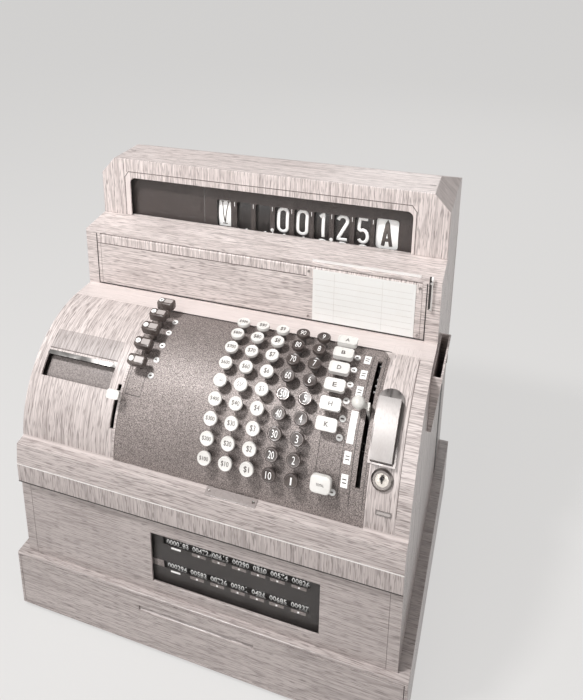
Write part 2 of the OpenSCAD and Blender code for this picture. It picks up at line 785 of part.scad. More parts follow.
// Front view of the hood, with its two upper corners chamfered
module hood_front(i) {
    w = half_w - i;
    c = hood_chamfer;
    translate([0, hood_back + 1, 0]) rotate([90, 0, 0]) linear_extrude(hood_back - hood_y + 2)
        polygon([[-w, top_z - 2], [w, top_z - 2], [w, hood_top - c * 1.1 - 0.4 * i], [w - c + 0.4 * i, hood_top - i],
                 [-w + c - 0.4 * i, hood_top - i], [-w, hood_top - c * 1.1 - 0.4 * i]]);
}

module window_outline(w, h, r) {
    translate([-w / 2, 0]) square([w, h - r]);
    translate([-w / 2 + r, 0]) square([w - 2 * r, h]);
    for (s = [-1, 1]) translate([s * (w / 2 - r), h - r]) circle(r);
}

module hood() {
    color("burlywood") about_axis() difference() {
        intersection() {
            along_x(-half_w, half_w) hood_outline(0);
            hood_front(0);
        }
        intersection() {
            along_x(-half_w + wall, half_w - wall) hood_outline(wall);
            hood_front(wall);
        }
        translate([0, hood_y + wall + 1, top_z - 1]) rotate([90, 0, 0]) linear_extrude(wall + 2)
            window_outline(window_w, window_h + 1, 8);
    }
}

glass_margin = 6;

module indicator_glass() {
    color("lightblue", 0.3) about_axis() translate([0, hood_y + wall + glass_t, top_z]) rotate([90, 0, 0])
        linear_extrude(glass_t) window_outline(window_w + 2 * glass_margin, window_h + glass_margin, 10);
}

function figure_x(n) = first_wheel + n * wheel_pitch;
flag_x = first_wheel - 30.9;
letter_x = figure_x(6) + 32.9;
flag_w = 22;
letter_w = 34;
mask_y = hood_y + wall + glass_t;
mask_deep = 8.5;
mask_t = 1.2;
sight_z = indicator_z + 4;
sight_h = 36;

// Dark box round the sight openings, one opening for each wheel
module indicator_mask() {
    w = window_w / 2 + glass_margin;
    color("black") about_axis() difference() {
        span([-w, mask_y, top_z], [w, mask_y + mask_deep, top_z + window_h + glass_margin]);
        span([-w + mask_t, mask_y - 1, top_z + mask_t], [w - mask_t, mask_y + mask_deep - mask_t, top_z + window_h + glass_margin - mask_t]);
        for (n = [0:6]) sight_opening(figure_x(n), wheel_w);
        sight_opening(flag_x, flag_w);
        sight_opening(letter_x, letter_w);
    }
}

module sight_opening(x, w) {
    span([x - w / 2, mask_y, max(top_z + 2, sight_z - sight_h / 2)], [x + w / 2, mask_y + mask_deep + 1, sight_z + sight_h / 2]);
}

// Indicator wheel: rim, web and hub turned in one piece
module indicator_wheel(x, w, hub_w) {
    color("black") about_axis() translate([x, 0, 0]) at_shaft(indicator_y, indicator_z) rotate_extrude($fn = 96) union() {
        translate([wheel_r - 2.5, -w / 2]) square([2.5, w]);
        translate([shaft_d / 2 + 2, -1.5]) square([wheel_r - 4 - shaft_d / 2, 3]);
        translate([shaft_d / 2 + shaft_gap, -hub_w / 2]) square([6, hub_w]);
    }
}

module figure_wheel(n) { indicator_wheel(figure_x(n - 1), wheel_w, wheel_pitch - 0.8); }

module flag_wheel() { indicator_wheel(flag_x, flag_w, flag_w + 8); }

module letter_wheel() { indicator_wheel(letter_x, letter_w, letter_w + 2); }

// Tapered slip pocket on the right side
module slip_pocket() {
    foot = 0.35 * pocket_out;
    color("burlywood") about_axis() translate([half_w, 30, pocket_z]) difference() {
        rotate([90, 0, 0]) linear_extrude(pocket_l, center = true)
            polygon([[0, 0], [foot, 0], [pocket_out, pocket_h], [0, pocket_h]]);
        rotate([90, 0, 0]) linear_extrude(pocket_l - 2 * pocket_wall, center = true)
            polygon([[1.5, 2 * pocket_wall], [foot, 2 * pocket_wall], [pocket_out - pocket_wall, pocket_h + 6], [1.5, pocket_h + 6]]);
    }
}

drawer_case();
cash_drawer();
till_tray();
note_clips();
rubber_feet();
base_pan();
cabinet();
front_panel();
totals_glass();
upper_counter();
lower_counter();
rear_cover();
side_frames();
frame_shafts();
key_plate();
key_guide();
for (row = [1:9]) amount_keys(row);
dept_key(0);  // dept_key_a
dept_key(1);  // dept_key_b
dept_key(2);  // dept_key_d
dept_key(3);  // dept_key_e
dept_key(4);  // dept_key_h
dept_key(5);  // dept_key_k
total_key();
for (n = [1:5]) clerk_key(n - 1);
control_lever();
receipt_lever();
motor_bar();
motor_bar_bezel();
lock_bezel();
lock_cylinder();
printer_lid();
price_card();
slip_guide();
journal_roll();
hood();
indicator_glass();
indicator_mask();
flag_wheel();
for (n = [1:7]) figure_wheel(n);
letter_wheel();
slip_pocket();
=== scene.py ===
# %% [markdown]
# A cash register in printed wood grain is dressed here, piece by piece. The imported solids come in
# as a fixed frame: they keep their places and get finishes, and new pieces such as numerals,
# labels and rules are fitted on them. Keeping the frame fixed lets every key and lever still move.

# %% Load the frame
from math import atan2, ceil, cos, hypot, radians, sin

import bpy
from mathutils import Matrix, Vector


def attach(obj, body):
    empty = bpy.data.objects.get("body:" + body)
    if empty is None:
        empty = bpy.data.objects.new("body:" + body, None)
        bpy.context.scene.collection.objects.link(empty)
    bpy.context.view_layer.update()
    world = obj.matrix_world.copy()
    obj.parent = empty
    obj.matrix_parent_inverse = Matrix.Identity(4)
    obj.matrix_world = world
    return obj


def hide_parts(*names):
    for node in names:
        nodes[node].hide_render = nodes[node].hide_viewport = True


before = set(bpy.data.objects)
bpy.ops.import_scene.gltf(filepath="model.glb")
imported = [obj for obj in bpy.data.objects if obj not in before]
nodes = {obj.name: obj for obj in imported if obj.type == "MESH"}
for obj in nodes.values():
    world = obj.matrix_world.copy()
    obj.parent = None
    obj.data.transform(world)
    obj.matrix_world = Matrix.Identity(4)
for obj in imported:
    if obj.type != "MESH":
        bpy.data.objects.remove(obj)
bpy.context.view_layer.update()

# %% [markdown]
# The operator looks down at the keyboard from the right, close by. A camera is placed by its eye
# point and its right, up and back directions. The optical centre sits high in the frame, as on a
# camera whose back is shifted to keep uprights straight, so the lens shift carries the rest.

# %% Camera
MM = 0.001
SCENE = bpy.context.scene
# The eye is in millimetres, its angles are in radians, the lens and its centre in pixels
EYE = (295.3, -819.1, 872.8)
YAW, PITCH, ROLL = 0.3761, 0.3109, -0.0139
FOCAL_PX, CENTRE_PX = 741.1, (229.75, 159.24)
FRAME_PX = (583, 700)


def fresh():
    """Operators act on what is selected, so each step starts with nothing selected."""
    bpy.ops.object.select_all(action="DESELECT")


def camera_axes(yaw, pitch, roll):
    forward = Vector((-sin(yaw) * cos(pitch), cos(yaw) * cos(pitch), -sin(pitch)))
    level = Vector((cos(yaw), sin(yaw), 0))
    upright = level.cross(forward)
    right = cos(roll) * level + sin(roll) * upright
    up = -sin(roll) * level + cos(roll) * upright
    return right, up, -forward


fresh()
bpy.ops.object.camera_add()
camera = bpy.context.object
camera.name = "operator_view"
eye_turn = Matrix(camera_axes(YAW, PITCH, ROLL)).transposed().to_4x4()
camera.matrix_world = Matrix.Translation(Vector(EYE) * MM) @ eye_turn
camera.data.lens = FOCAL_PX * camera.data.sensor_width / max(FRAME_PX)
camera.data.shift_x = (FRAME_PX[0] / 2 - CENTRE_PX[0]) / max(FRAME_PX)
camera.data.shift_y = (CENTRE_PX[1] - FRAME_PX[1] / 2) / max(FRAME_PX)
camera.data.clip_start = 0.02
bpy.context.scene.camera = camera
print("lens mm:", round(camera.data.lens, 2))

# %% [markdown]
# Keys throw short soft shadows down the slope and to the right, so the small main lamp hangs above
# and to the left. Wide weak lamps open the shadows from the front, the right and the back, and a
# pale world does the rest.

# %% Lamps and world
SCENE.view_settings.view_transform = "Standard"
# Each lamp's place, aim and width in metres, and its power in watts
LAMPS = {
    "main_lamp": ((-0.50, -0.82, 1.96), (0, -0.1, 0.4), 0.24, 34),
    "front_fill": ((-0.55, -2.2, 1.45), (0, 0, 0.5), 1.2, 23),
    "side_fill": ((2.1, -0.9, 1.2), (0.2, 0, 0.3), 1.0, 12),
    "back_fill": ((0.3, 2.3, 1.7), (0, 0, 0.3), 1.6, 10),
}
ROOM_COLOUR, ROOM_STRENGTH = (0.93, 0.92, 0.91, 1), 0.24

for name, (place, aim, width, watts) in LAMPS.items():
    bpy.ops.object.light_add(type="AREA", location=place)
    lamp = bpy.context.object
    lamp.name = name
    lamp.data.size = width
    lamp.data.energy = watts
    lamp.rotation_euler = (Vector(aim) - Vector(place)).to_track_quat("-Z", "Y").to_euler()

world = bpy.data.worlds.new("pale_room")
SCENE.world = world
world.use_nodes = True
background = world.node_tree.nodes["Background"].inputs
background["Color"].default_value = ROOM_COLOUR
background["Strength"].default_value = ROOM_STRENGTH
print("lamps:", len(LAMPS))

# %% [markdown]
# Every finish below is built from noise on object coordinates, so it needs no picture file and
# lies still when the camera moves. Short helpers keep the node lists readable: one adds a node and
# fills its sockets, others do a sum, blend two colours or read a place, and the last one links a
# colour, a roughness and a fine relief to the shader. A finish is a material, mat for short, and
# is kept under its name.

# %% Finish helpers
RELIEF_DEPTH = 0.0004
FINISHES = {}


def add(mat, kind, inputs, **settings):
    node = mat.node_tree.nodes.new(kind)
    for key, value in settings.items():
        setattr(node, key, value)
    for key, value in inputs.items():
        if isinstance(value, bpy.types.NodeSocket):
            mat.node_tree.links.new(value, node.inputs[key])
        else:
            node.inputs[key].default_value = value
    return node


def calc(mat, operation, a, b=0.0):
    return add(mat, "ShaderNodeMath", {0: a, 1: b}, operation=operation).outputs[0]


def vector_calc(mat, operation, a, b=(0, 0, 0)):
    return add(mat, "ShaderNodeVectorMath", {0: a, 1: b}, operation=operation).outputs[0]


def parts_of(mat, vector):
    return add(mat, "ShaderNodeSeparateXYZ", {0: vector}).outputs


def spread(mat, value, low, high, to_low=0.0, to_high=1.0):
    inputs = {0: value, 1: low, 2: high, 3: to_low, 4: to_high}
    return add(mat, "ShaderNodeMapRange", inputs, clamp=True).outputs[0]


def blend(mat, factor, a, b):
    inputs = {0: factor, 6: a, 7: b}
    return add(mat, "ShaderNodeMix", inputs, data_type="RGBA").outputs[2]


def noise(mat, vector, scale, detail=2.0, rough=0.5, bend=0.0):
    inputs = {"Vector": vector, "Scale": scale, "Detail": detail, "Roughness": rough, "Distortion": bend}
    return add(mat, "ShaderNodeTexNoise", inputs).outputs["Fac"]


def place_of(mat):
    return add(mat, "ShaderNodeTexCoord", {}).outputs["Object"]


def new_finish(name, rough, metal=0.0):
    mat = bpy.data.materials.new(name)
    mat.use_nodes = True
    shader = mat.node_tree.nodes["Principled BSDF"]
    shader.inputs["Roughness"].default_value = rough
    shader.inputs["Metallic"].default_value = metal
    FINISHES[name] = mat
    return mat, shader


def link(mat, socket, shader, name):
    mat.node_tree.links.new(socket, shader.inputs[name])


def surface(mat, shader, colour, roughness, height, strength):
    link(mat, colour, shader, "Base Color")
    link(mat, roughness, shader, "Roughness")
    inputs = {"Height": height, "Strength": strength, "Distance": RELIEF_DEPTH}
    link(mat, add(mat, "ShaderNodeBump", inputs).outputs[0], shader, "Normal")
    return mat


# %% [markdown]
# The floor is pale paint. A part of its light is a glow that only the camera, glass and mirrors
# see, so that it looks pale without lighting the register, and it still keeps a soft shadow.

# %% Floor
FLOOR_PAINT, FLOOR_GLOW, GLOW_SHARE = (0.52, 0.505, 0.495, 1), (0.86, 0.85, 0.84, 1), 0.7
fresh()
bpy.ops.mesh.primitive_plane_add(size=30, location=(0, 0, 0))
floor = bpy.context.object
floor.name = "pale_floor"
floor_paint, floor_shader = new_finish("floor_paint", 0.9)
floor_shader.inputs["Base Color"].default_value = FLOOR_PAINT
rays = add(floor_paint, "ShaderNodeLightPath", {}).outputs
seen = calc(floor_paint, "MAXIMUM", rays["Is Camera Ray"], rays["Is Transmission Ray"])
seen = calc(floor_paint, "MAXIMUM", seen, rays["Is Glossy Ray"])
share = calc(floor_paint, "MULTIPLY", seen, GLOW_SHARE)
glow = add(floor_paint, "ShaderNodeEmission", {"Color": FLOOR_GLOW}).outputs[0]
mixed = add(floor_paint, "ShaderNodeMixShader", {0: share, 1: floor_shader.outputs[0], 2: glow})
link(floor_paint, mixed.outputs[0], floor_paint.node_tree.nodes["Material Output"], "Surface")
floor.data.materials.append(floor_paint)
print("floor width m:", round(floor.dimensions.x, 1))

# %% [markdown]
# The cabinet is sheet steel printed with wood grain. The grain runs along the shelf and the lid,
# upright on the hood's front and the banded rail, and up the curve beside the keyboard. One
# pattern is stretched along X, or along Y and Z, and boxes in the cabinet's own millimetres
# choose which. Side faces are found by their normal, where the grain stands upright. The print is
# darkened low down with painted shade, which stands for the shade on the lower front.

# %% Printed wood
PALE, MIDDLE, DARK = (0.75, 0.668, 0.642, 1), (0.5, 0.434, 0.415, 1), (0.15, 0.122, 0.115, 1)
SHADOW_BROWN = (0.05, 0.04, 0.038, 1)
RING_INK, DASH_INK, PALE_SHARE, WORN_SHARE = 0.3, 0.6, 0.8, 0.14
# Painted shade: the print darkens below these heights in metres, for the shade on the lower front
DARK_BELOW, UNSHADED_ABOVE, LOW_SHADE = 0.18, 0.46, 0.36
GRAIN_ALONG, GRAIN_ACROSS = 10, 720


def inside_any(mat, place, boxes):
    """1 inside any of the boxes, which are given by two corners in millimetres, and 0 outside."""
    inside = 0.0
    for low, high in boxes:
        centre = [(a + b) / 2 * MM for a, b in zip(low, high)]
        half = [(b - a) / 2 * MM for a, b in zip(low, high)]
        away = vector_calc(mat, "ABSOLUTE", vector_calc(mat, "SUBTRACT", place, centre))
        over = parts_of(mat, vector_calc(mat, "SUBTRACT", away, half))
        farthest = calc(mat, "MAXIMUM", over[0], calc(mat, "MAXIMUM", over[1], over[2]))
        inside = calc(mat, "MAXIMUM", inside, calc(mat, "LESS_THAN", farthest, 0.0))
    return inside


def printed_wood(name, upright_boxes=(), rough=0.3, shade=0.0, pale_boxes=()):
    """Printed grain: upright in some boxes, pale and nearly bare in others (used for painted highlights),
    darker low down with painted shade, and at least as dark as shade.
    """
    mat, shader = new_finish(name, rough)
    place = place_of(mat)
    upright = inside_any(mat, place, upright_boxes)
    plain = inside_any(mat, place, pale_boxes)
    normal = add(mat, "ShaderNodeNewGeometry", {}).outputs["Normal"]
    sideways = calc(mat, "ABSOLUTE", parts_of(mat, normal)[0])
    on_side = calc(mat, "GREATER_THAN", sideways, 0.5)

    def stretched(along, across):
        level = blend(mat, upright, (along, across, across, 1), (across, along, along, 1))
        chosen = blend(mat, on_side, level, (along, across, along, 1))
        return vector_calc(mat, "MULTIPLY", place, chosen)

    streaks = noise(mat, stretched(GRAIN_ALONG, GRAIN_ACROSS), 1.0, 3.0, 0.6)
    dashes = noise(mat, stretched(70, 900), 1.0, 1.0, 0.4)
    waves = noise(mat, stretched(1.6, 34), 1.0, 1.0, 0.4, 0.2)
    rings = calc(mat, "PINGPONG", calc(mat, "MULTIPLY", waves, 16.0), 0.5)
    ring_lines = spread(mat, rings, 0.03, 0.16, 1.0, 0.0)
    colour = blend(mat, spread(mat, streaks, 0.38, 0.58), MIDDLE, PALE)
    colour = blend(mat, calc(mat, "MULTIPLY", ring_lines, RING_INK), colour, DARK)
    marks = calc(mat, "MULTIPLY", spread(mat, dashes, 0.54, 0.66), DASH_INK)
    colour = blend(mat, marks, colour, DARK)
    # Pale, nearly bare print in the pale boxes; above and below the keys this paints a highlight
    colour = blend(mat, calc(mat, "MULTIPLY", plain, PALE_SHARE), colour, PALE)
    wear = noise(mat, place, 9.0, 3.0)
    colour = blend(mat, spread(mat, wear, 0.3, 0.75, 0.0, WORN_SHARE), colour, MIDDLE)
    # Painted shade: darker towards the bottom of the cabinet
    painted_low_shade = spread(mat, parts_of(mat, place)[2], DARK_BELOW, UNSHADED_ABOVE, LOW_SHADE, 0.0)
    colour = blend(mat, calc(mat, "MAXIMUM", painted_low_shade, shade), colour, SHADOW_BROWN)
    roughness = spread(mat, streaks, 0.3, 0.7, rough + 0.08, rough - 0.06)
    return surface(mat, shader, colour, roughness, streaks, 0.12)


print("grain per metre along:", GRAIN_ALONG, "across:", GRAIN_ACROSS)

# %% [markdown]
# The key plate is sprayed with a dark crackle enamel that sparkles in fine grains, and the hidden
# frames carry a plain grey enamel. Both come from a fine noise for the grains and a broad one for
# uneven spraying. Plastic is toned by smears and specks of dirt, metal by lines left from drawing
# and by stains, and glass is a nearly clear sheet with a little dust.

# %% Enamel, plastic, metal and glass
TARNISH = (0.25, 0.22, 0.2, 1)


def grained_enamel(name, dark, light, grain=1500.0, rough=0.5, height=0.5, metal=0.0):
    mat, shader = new_finish(name, rough, metal)
    place = place_of(mat)
    grains = noise(mat, place, grain, 2.0, 0.7)
    broad = noise(mat, place, 14.0, 3.0)
    colour = blend(mat, spread(mat, grains, 0.38, 0.64), dark, light)
    colour = blend(mat, spread(mat, broad, 0.35, 0.7, 0.0, 0.22), colour, dark)
    roughness = spread(mat, grains, 0.3, 0.7, rough + 0.1, rough - 0.1)
    return surface(mat, shader, colour, roughness, grains, height)


def worn_plastic(name, colour, rough, dirt=(0.42, 0.36, 0.31, 1)):
    mat, shader = new_finish(name, rough)
    place = place_of(mat)
    smears = noise(mat, place, 60.0, 4.0, 0.6)
    specks = noise(mat, place, 900.0, 2.0)
    toned = blend(mat, spread(mat, smears, 0.45, 0.8, 0.0, 0.16), colour, dirt)
    toned = blend(mat, spread(mat, specks, 0.66, 0.75, 0.0, 0.25), toned, dirt)
    roughness = spread(mat, smears, 0.3, 0.7, rough - 0.06, rough + 0.14)
    return surface(mat, shader, toned, roughness, smears, 0.05)


def drawn_metal(name, colour, along, rough):
    mat, shader = new_finish(name, rough, 1.0)
    place = place_of(mat)
    lines = noise(mat, vector_calc(mat, "MULTIPLY", place, along), 1.0, 2.0)
    stains = noise(mat, place, 45.0, 4.0)
    toned = blend(mat, spread(mat, stains, 0.5, 0.85, 0.0, 0.3), colour, TARNISH)
    roughness = spread(mat, lines, 0.3, 0.7, rough - 0.08, rough + 0.12)
    return surface(mat, shader, toned, roughness, lines, 0.08)


def clear_pane(name):
    mat, shader = new_finish(name, 0.04)
    dust = noise(mat, place_of(mat), 70.0, 4.0, 0.6)
    tone = blend(mat, dust, (0.22, 0.2, 0.19, 1), (0.36, 0.34, 0.32, 1))
    link(mat, tone, shader, "Base Color")
    link(mat, spread(mat, dust, 0.4, 0.8, 0.01, 0.045), shader, "Alpha")
    shader.inputs["IOR"].default_value = 1.5
    return mat


# %% [markdown]
# A row of amount keys holds three ivory keys and two black ones in a single solid, so its finish
# picks the colour by place: black past the third column, and below the heads, measured as the
# distance from the keyboard's axis, dark steel made darker with painted shade under the heads.

# %% Key finishes
AXIS_Y, AXIS_Z = -45.0, 245.0
IVORY = (0.72, 0.7, 0.67, 1)
COAL = (0.06, 0.046, 0.042, 1)
SHADED_STEM_GREY = (0.16, 0.145, 0.14, 1)
FINGER_BROWN = (0.34, 0.29, 0.25, 1)


def axis_radius(mat, place):
    spoke = vector_calc(mat, "SUBTRACT", place, (0, AXIS_Y * MM, AXIS_Z * MM))
    flat = vector_calc(mat, "MULTIPLY", spoke, (0, 1, 1))
    return add(mat, "ShaderNodeVectorMath", {0: flat}, operation="LENGTH").outputs["Value"]


def key_plastic(name, head_radius, black_from=None):
    mat, shader = new_finish(name, 0.2)
    place = place_of(mat)
    smears = noise(mat, place, 80.0, 4.0, 0.6)
    colour = IVORY
    if black_from is not None:
        is_black = calc(mat, "GREATER_THAN", parts_of(mat, place)[0], black_from * MM)
        colour = blend(mat, is_black, IVORY, COAL)
    colour = blend(mat, spread(mat, smears, 0.45, 0.85, 0.0, 0.2), colour, FINGER_BROWN)
    # Painted shade: the stems under the heads are drawn dark, steel darkened by the shade there
    below = calc(mat, "LESS_THAN", axis_radius(mat, place), head_radius * MM)
    colour = blend(mat, below, colour, SHADED_STEM_GREY)
    return surface(mat, shader, colour, spread(mat, smears, 0.3, 0.7, 0.24, 0.4), smears, 0.05)


# %% [markdown]
# The finishes are handed to the solids by name. Boxes in the cabinet's millimetres say where the
# grain stands upright: the banded rail, the console right of the keys, the cheek left of them, the
# hood's front and the lid's band. Others say where the print turns pale and nearly bare; on the
# bands above and below the keys this is a painted highlight.

# %% Finishes on the solids
SIDES = 260
RAIL_BAND = ((-SIDES, -220, 203.0), (SIDES, -203.0, 231.2))
CONSOLE = ((191, -200, 262), (224.5, -30, 392))
LEFT_CHEEK = ((-SIDES, -200, 262), (-112, -46, 392))
# Painted highlights: the bands above and below the keys are drawn pale and nearly bare
HIGHLIGHT_ABOVE_KEYS = ((-SIDES, -46, 385), (SIDES, -9, 391))
HIGHLIGHT_BELOW_KEYS = ((-SIDES, -190, 258.5), (SIDES, -175, 262))
HOOD_FRONT = ((-SIDES, 30, 470), (SIDES, 44.2, 700))
WINDOW_LEFT, WINDOW_RIGHT = ((-203, 30, 470), (-195, 44, 541)), ((195, 30, 470), (199, 44, 541))
LID_BAND = ((-SIDES, -30, 452), (SIDES, 30, 470))
printed_wood("cabinet_wood", (RAIL_BAND, CONSOLE, LEFT_CHEEK), pale_boxes=(HIGHLIGHT_ABOVE_KEYS, HIGHLIGHT_BELOW_KEYS))
printed_wood("hood_wood", (HOOD_FRONT,), pale_boxes=(WINDOW_LEFT, WINDOW_RIGHT))
printed_wood("lid_wood", (LID_BAND,), 0.46)
printed_wood("plain_wood")
grained_enamel("key_plate_enamel", (0.085, 0.07, 0.065, 1), (0.42, 0.36, 0.34, 1), 950.0, 0.5, 0.4, 0.2)
grained_enamel("frame_enamel", (0.12, 0.115, 0.11, 1), (0.2, 0.19, 0.185, 1), 500.0, 0.45, 0.3)
grained_enamel("wheel_enamel", (0.02, 0.017, 0.016, 1), (0.045, 0.038, 0.036, 1), 700.0, 0.4, 0.2)
grained_enamel("mask_enamel", (0.05, 0.04, 0.037, 1), (0.078, 0.063, 0.059, 1), 300.0, 0.34, 0.1)
grained_enamel("tray_plastic", (0.05, 0.048, 0.047, 1), (0.085, 0.08, 0.078, 1), 400.0, 0.5, 0.3)
grained_enamel("foot_rubber", (0.02, 0.02, 0.02, 1), (0.045, 0.043, 0.042, 1), 800.0, 0.8, 0.5)
key_plastic("amount_plastic", 150.9, 74.6)
key_plastic("broad_plastic", 151.8)
worn_plastic("ivory_plastic", (0.66, 0.642, 0.61, 1), 0.24)
drawn_metal("bar_steel", (0.36, 0.337, 0.328, 1), (1600, 300, 300), 0.46)
drawn_metal("shaft_steel", (0.5, 0.48, 0.47, 1), (20, 500, 500), 0.32)
drawn_metal("bright_metal", (0.82, 0.79, 0.77, 1), (60, 60, 60), 0.16)
drawn_metal("dark_metal", (0.19, 0.17, 0.16, 1), (60, 60, 60), 0.24)
drawn_metal("lock_brass", (0.5, 0.46, 0.42, 1), (300, 300, 300), 0.3)
drawn_metal("cap_metal", (0.36, 0.33, 0.32, 1), (200, 30, 30), 0.3)
worn_plastic("white_card", (0.76, 0.75, 0.73, 1), 0.7, (0.66, 0.61, 0.55, 1))
clear_pane("clear_glass")

DRUMS = ["flag_wheel", "letter_wheel", "upper_counter", "lower_counter"]
FINISH_OF = {
    "cabinet_wood": ["cabinet"],
    "hood_wood": ["hood"],
    "lid_wood": ["printer_lid"],
    "plain_wood": ["drawer_case", "cash_drawer", "front_panel", "rear_cover", "slip_pocket"],
    "key_plate_enamel": ["key_plate"],
    "frame_enamel": ["base_pan", "side_frames", "key_guide"],
    "wheel_enamel": DRUMS + [f"figure_wheel_{n}" for n in range(1, 8)],
    "mask_enamel": ["indicator_mask"],
    "tray_plastic": ["till_tray"],
    "foot_rubber": ["rubber_feet"],
    "amount_plastic": [f"amount_keys_row_{row}" for row in range(1, 10)],
    "broad_plastic": ["total_key"] + [f"dept_key_{letter}" for letter in "abdehk"],
    "ivory_plastic": ["control_lever", "receipt_lever"],
    "bar_steel": ["motor_bar"],
    "shaft_steel": ["frame_shafts", "note_clips"],
    "bright_metal": ["slip_guide"],
    "lock_brass": ["lock_cylinder"],
    "dark_metal": ["lock_bezel"],
    "cap_metal": ["motor_bar_bezel"] + [f"clerk_key_{n}" for n in range(1, 6)],
    "white_card": ["price_card", "journal_roll"],
    "clear_glass": ["indicator_glass", "totals_glass"],
}
for finish, names in FINISH_OF.items():
    for name in names:
        for place in nodes[name].material_slots:
            place.material = FINISHES[finish]
print("solids without a finish:", sorted(set(nodes).difference(*FINISH_OF.values())))

# %% [markdown]
# New pieces are shaped lying flat at the origin and then stood in their place. On a key or a
# panel a piece stays flat. On a wheel or the curved key plate its height is bent round the
# axis, so that it hugs the surface. Both keep the object itself at the origin, as the solids are.

# %% Helpers for new pieces
NEAR = 1e-7
HALF_DEPTH = 0.01


def stand(piece, x, angle, radius, axis=(AXIS_Y, AXIS_Z)):
    a = radians(angle)
    turn = Matrix(((1, 0, 0), (0, sin(a), -cos(a)), (0, cos(a), sin(a))))
    where = Vector((x, axis[0] - radius * cos(a), axis[1] + radius * sin(a))) * MM
    piece.data.transform(Matrix.Translation(where) @ turn.to_4x4())
    piece.data.update()
    return piece


def wrap(piece, x, angle, radius, axis=(AXIS_Y, AXIS_Z)):
    for corner in piece.data.vertices:
        u, v, w = corner.co
        a = radians(angle) + v / (radius * MM)
        reach = radius * MM + w
        corner.co = (x * MM + u, axis[0] * MM - reach * cos(a), axis[1] * MM + reach * sin(a))
    piece.data.update()
    return piece


def copy_of(piece, name):
    twin = piece.copy()
    twin.data = piece.data.copy()
    twin.name = name
    SCENE.collection.objects.link(twin)
    return twin


def to_mode(mode):
    bpy.ops.object.mode_set(mode=mode)


def pick(parts):
    """Selects only these pieces and makes the first one active."""
    fresh()
    for part in parts:
        part.select_set(True)
    bpy.context.view_layer.objects.active = parts[0]


def joined(parts, name):
    pick(parts)
    if len(parts) > 1:
        bpy.ops.object.join()
    parts[0].name = name
    return parts[0]


def dress(parts, finish, name, body="case"):
    """Joins parts to one named piece with a finish, which moves with a body."""
    piece = joined(parts if isinstance(parts, list) else [parts], name)
    piece.data.materials.clear()
    piece.data.materials.append(FINISHES[finish])
    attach(piece, body)
    return piece


def select_only(piece, kind, is_chosen):
    """Enters edit mode with only those edges or faces selected that a test picks."""
    to_mode("EDIT")
    bpy.ops.mesh.select_all(action="DESELECT")
    bpy.ops.mesh.select_mode(type=kind)
    to_mode("OBJECT")
    for element in piece.data.edges if kind == "EDGE" else piece.data.polygons:
        element.select = is_chosen(element)
    to_mode("EDIT")


def plate(width, length, thick, corner=0.0, base=0.0, segments=4):
    """A flat plate in millimetres with rounded corners, lying on base."""
    fresh()
    bpy.ops.mesh.primitive_cube_add(size=1)
    piece = bpy.context.object
    piece.data.transform(Matrix.Diagonal((width * MM, length * MM, thick * MM, 1)))
    piece.data.transform(Matrix.Translation((0, 0, (base + thick / 2) * MM)))

    def is_upright(edge):
        a, b = (piece.data.vertices[i].co for i in edge.vertices)
        return abs(a.x - b.x) < NEAR and abs(a.y - b.y) < NEAR

    if corner:
        select_only(piece, "EDGE", is_upright)
        bpy.ops.mesh.bevel(offset=corner * MM, offset_type="OFFSET", segments=segments)
        to_mode("OBJECT")
    return piece


def round_blank(radius, thick, base, sides):
    fresh()
    bpy.ops.mesh.primitive_cylinder_add(
        vertices=sides, radius=radius * MM, depth=thick * MM, location=(0, 0, (base + thick / 2) * MM)
    )
    bpy.ops.object.transform_apply(location=True, rotation=True, scale=True)
    return bpy.context.object


def disc(radius, thick, base, rim, sides=28):
    """A round plate in millimetres whose top is sunk inside its rim."""
    piece = round_blank(radius, thick, base, sides)
    if rim:
        select_only(piece, "FACE", lambda face: face.normal.z > 0.9)
        bpy.ops.mesh.inset(thickness=rim * MM)
        bpy.ops.transform.translate(value=(0, 0, -rim * 0.5 * MM))
        to_mode("OBJECT")
    return piece


def lettering(text, width, height, thick=0.3, base=0.0, weight=0.0):
    """Letters turned to a mesh and fitted to a width and height in millimetres."""
    fresh()
    bpy.ops.object.text_add(location=(0, 0, 0))
    piece = bpy.context.object
    piece.data.body = text
    piece.data.resolution_u = 3
    piece.data.extrude = HALF_DEPTH
    piece.data.offset = weight
    bpy.ops.object.convert(target="MESH")
    piece = bpy.context.object
    xs = [corner.co.x for corner in piece.data.vertices]
    ys = [corner.co.y for corner in piece.data.vertices]
    wide, high = max(xs) - min(xs), max(ys) - min(ys)
    fit = Matrix.Diagonal((width * MM / wide, height * MM / high, thick * MM / (2 * HALF_DEPTH), 1))
    shift = Matrix.Translation((-(max(xs) + min(xs)) / 2, -(max(ys) + min(ys)) / 2, 0))
    piece.data.transform(Matrix.Translation((0, 0, (base + thick / 2) * MM)) @ fit @ shift)
    return piece


# %% [markdown]
# The amount keys count hundreds, tens and single dollars on ivory heads, then tens and single
# cents on black ones. Each numeral is a thin solid fitted to its key's dished top. The numerals of
# a row press with the row, so they are joined into one piece that rides on it.

# %% Numerals on the amount keys
KEY_TOP, NUMERAL_SEAT = 157.7, 0.75
FIRST_X, KEY_PITCH, IVORY_COLUMNS = 11.2, 25.4, 3
FIRST_ANGLE, ROW_STEP = 20.6, 8.0
NARROW_ONE = 1.7
# Each column's text with its width and height in millimetres
COLUMN_TEXT = (
    ("$%d00", 10.6, 5.2), ("$%d0", 9.0, 6.2), ("$%d", 6.2, 7.2), ("%d0", 6.6, 8.0), ("%d", 3.3, 8.2)
)
AMOUNT_ROWS = range(1, 10)


def row_angle(row):
    return FIRST_ANGLE + (row - 1) * ROW_STEP


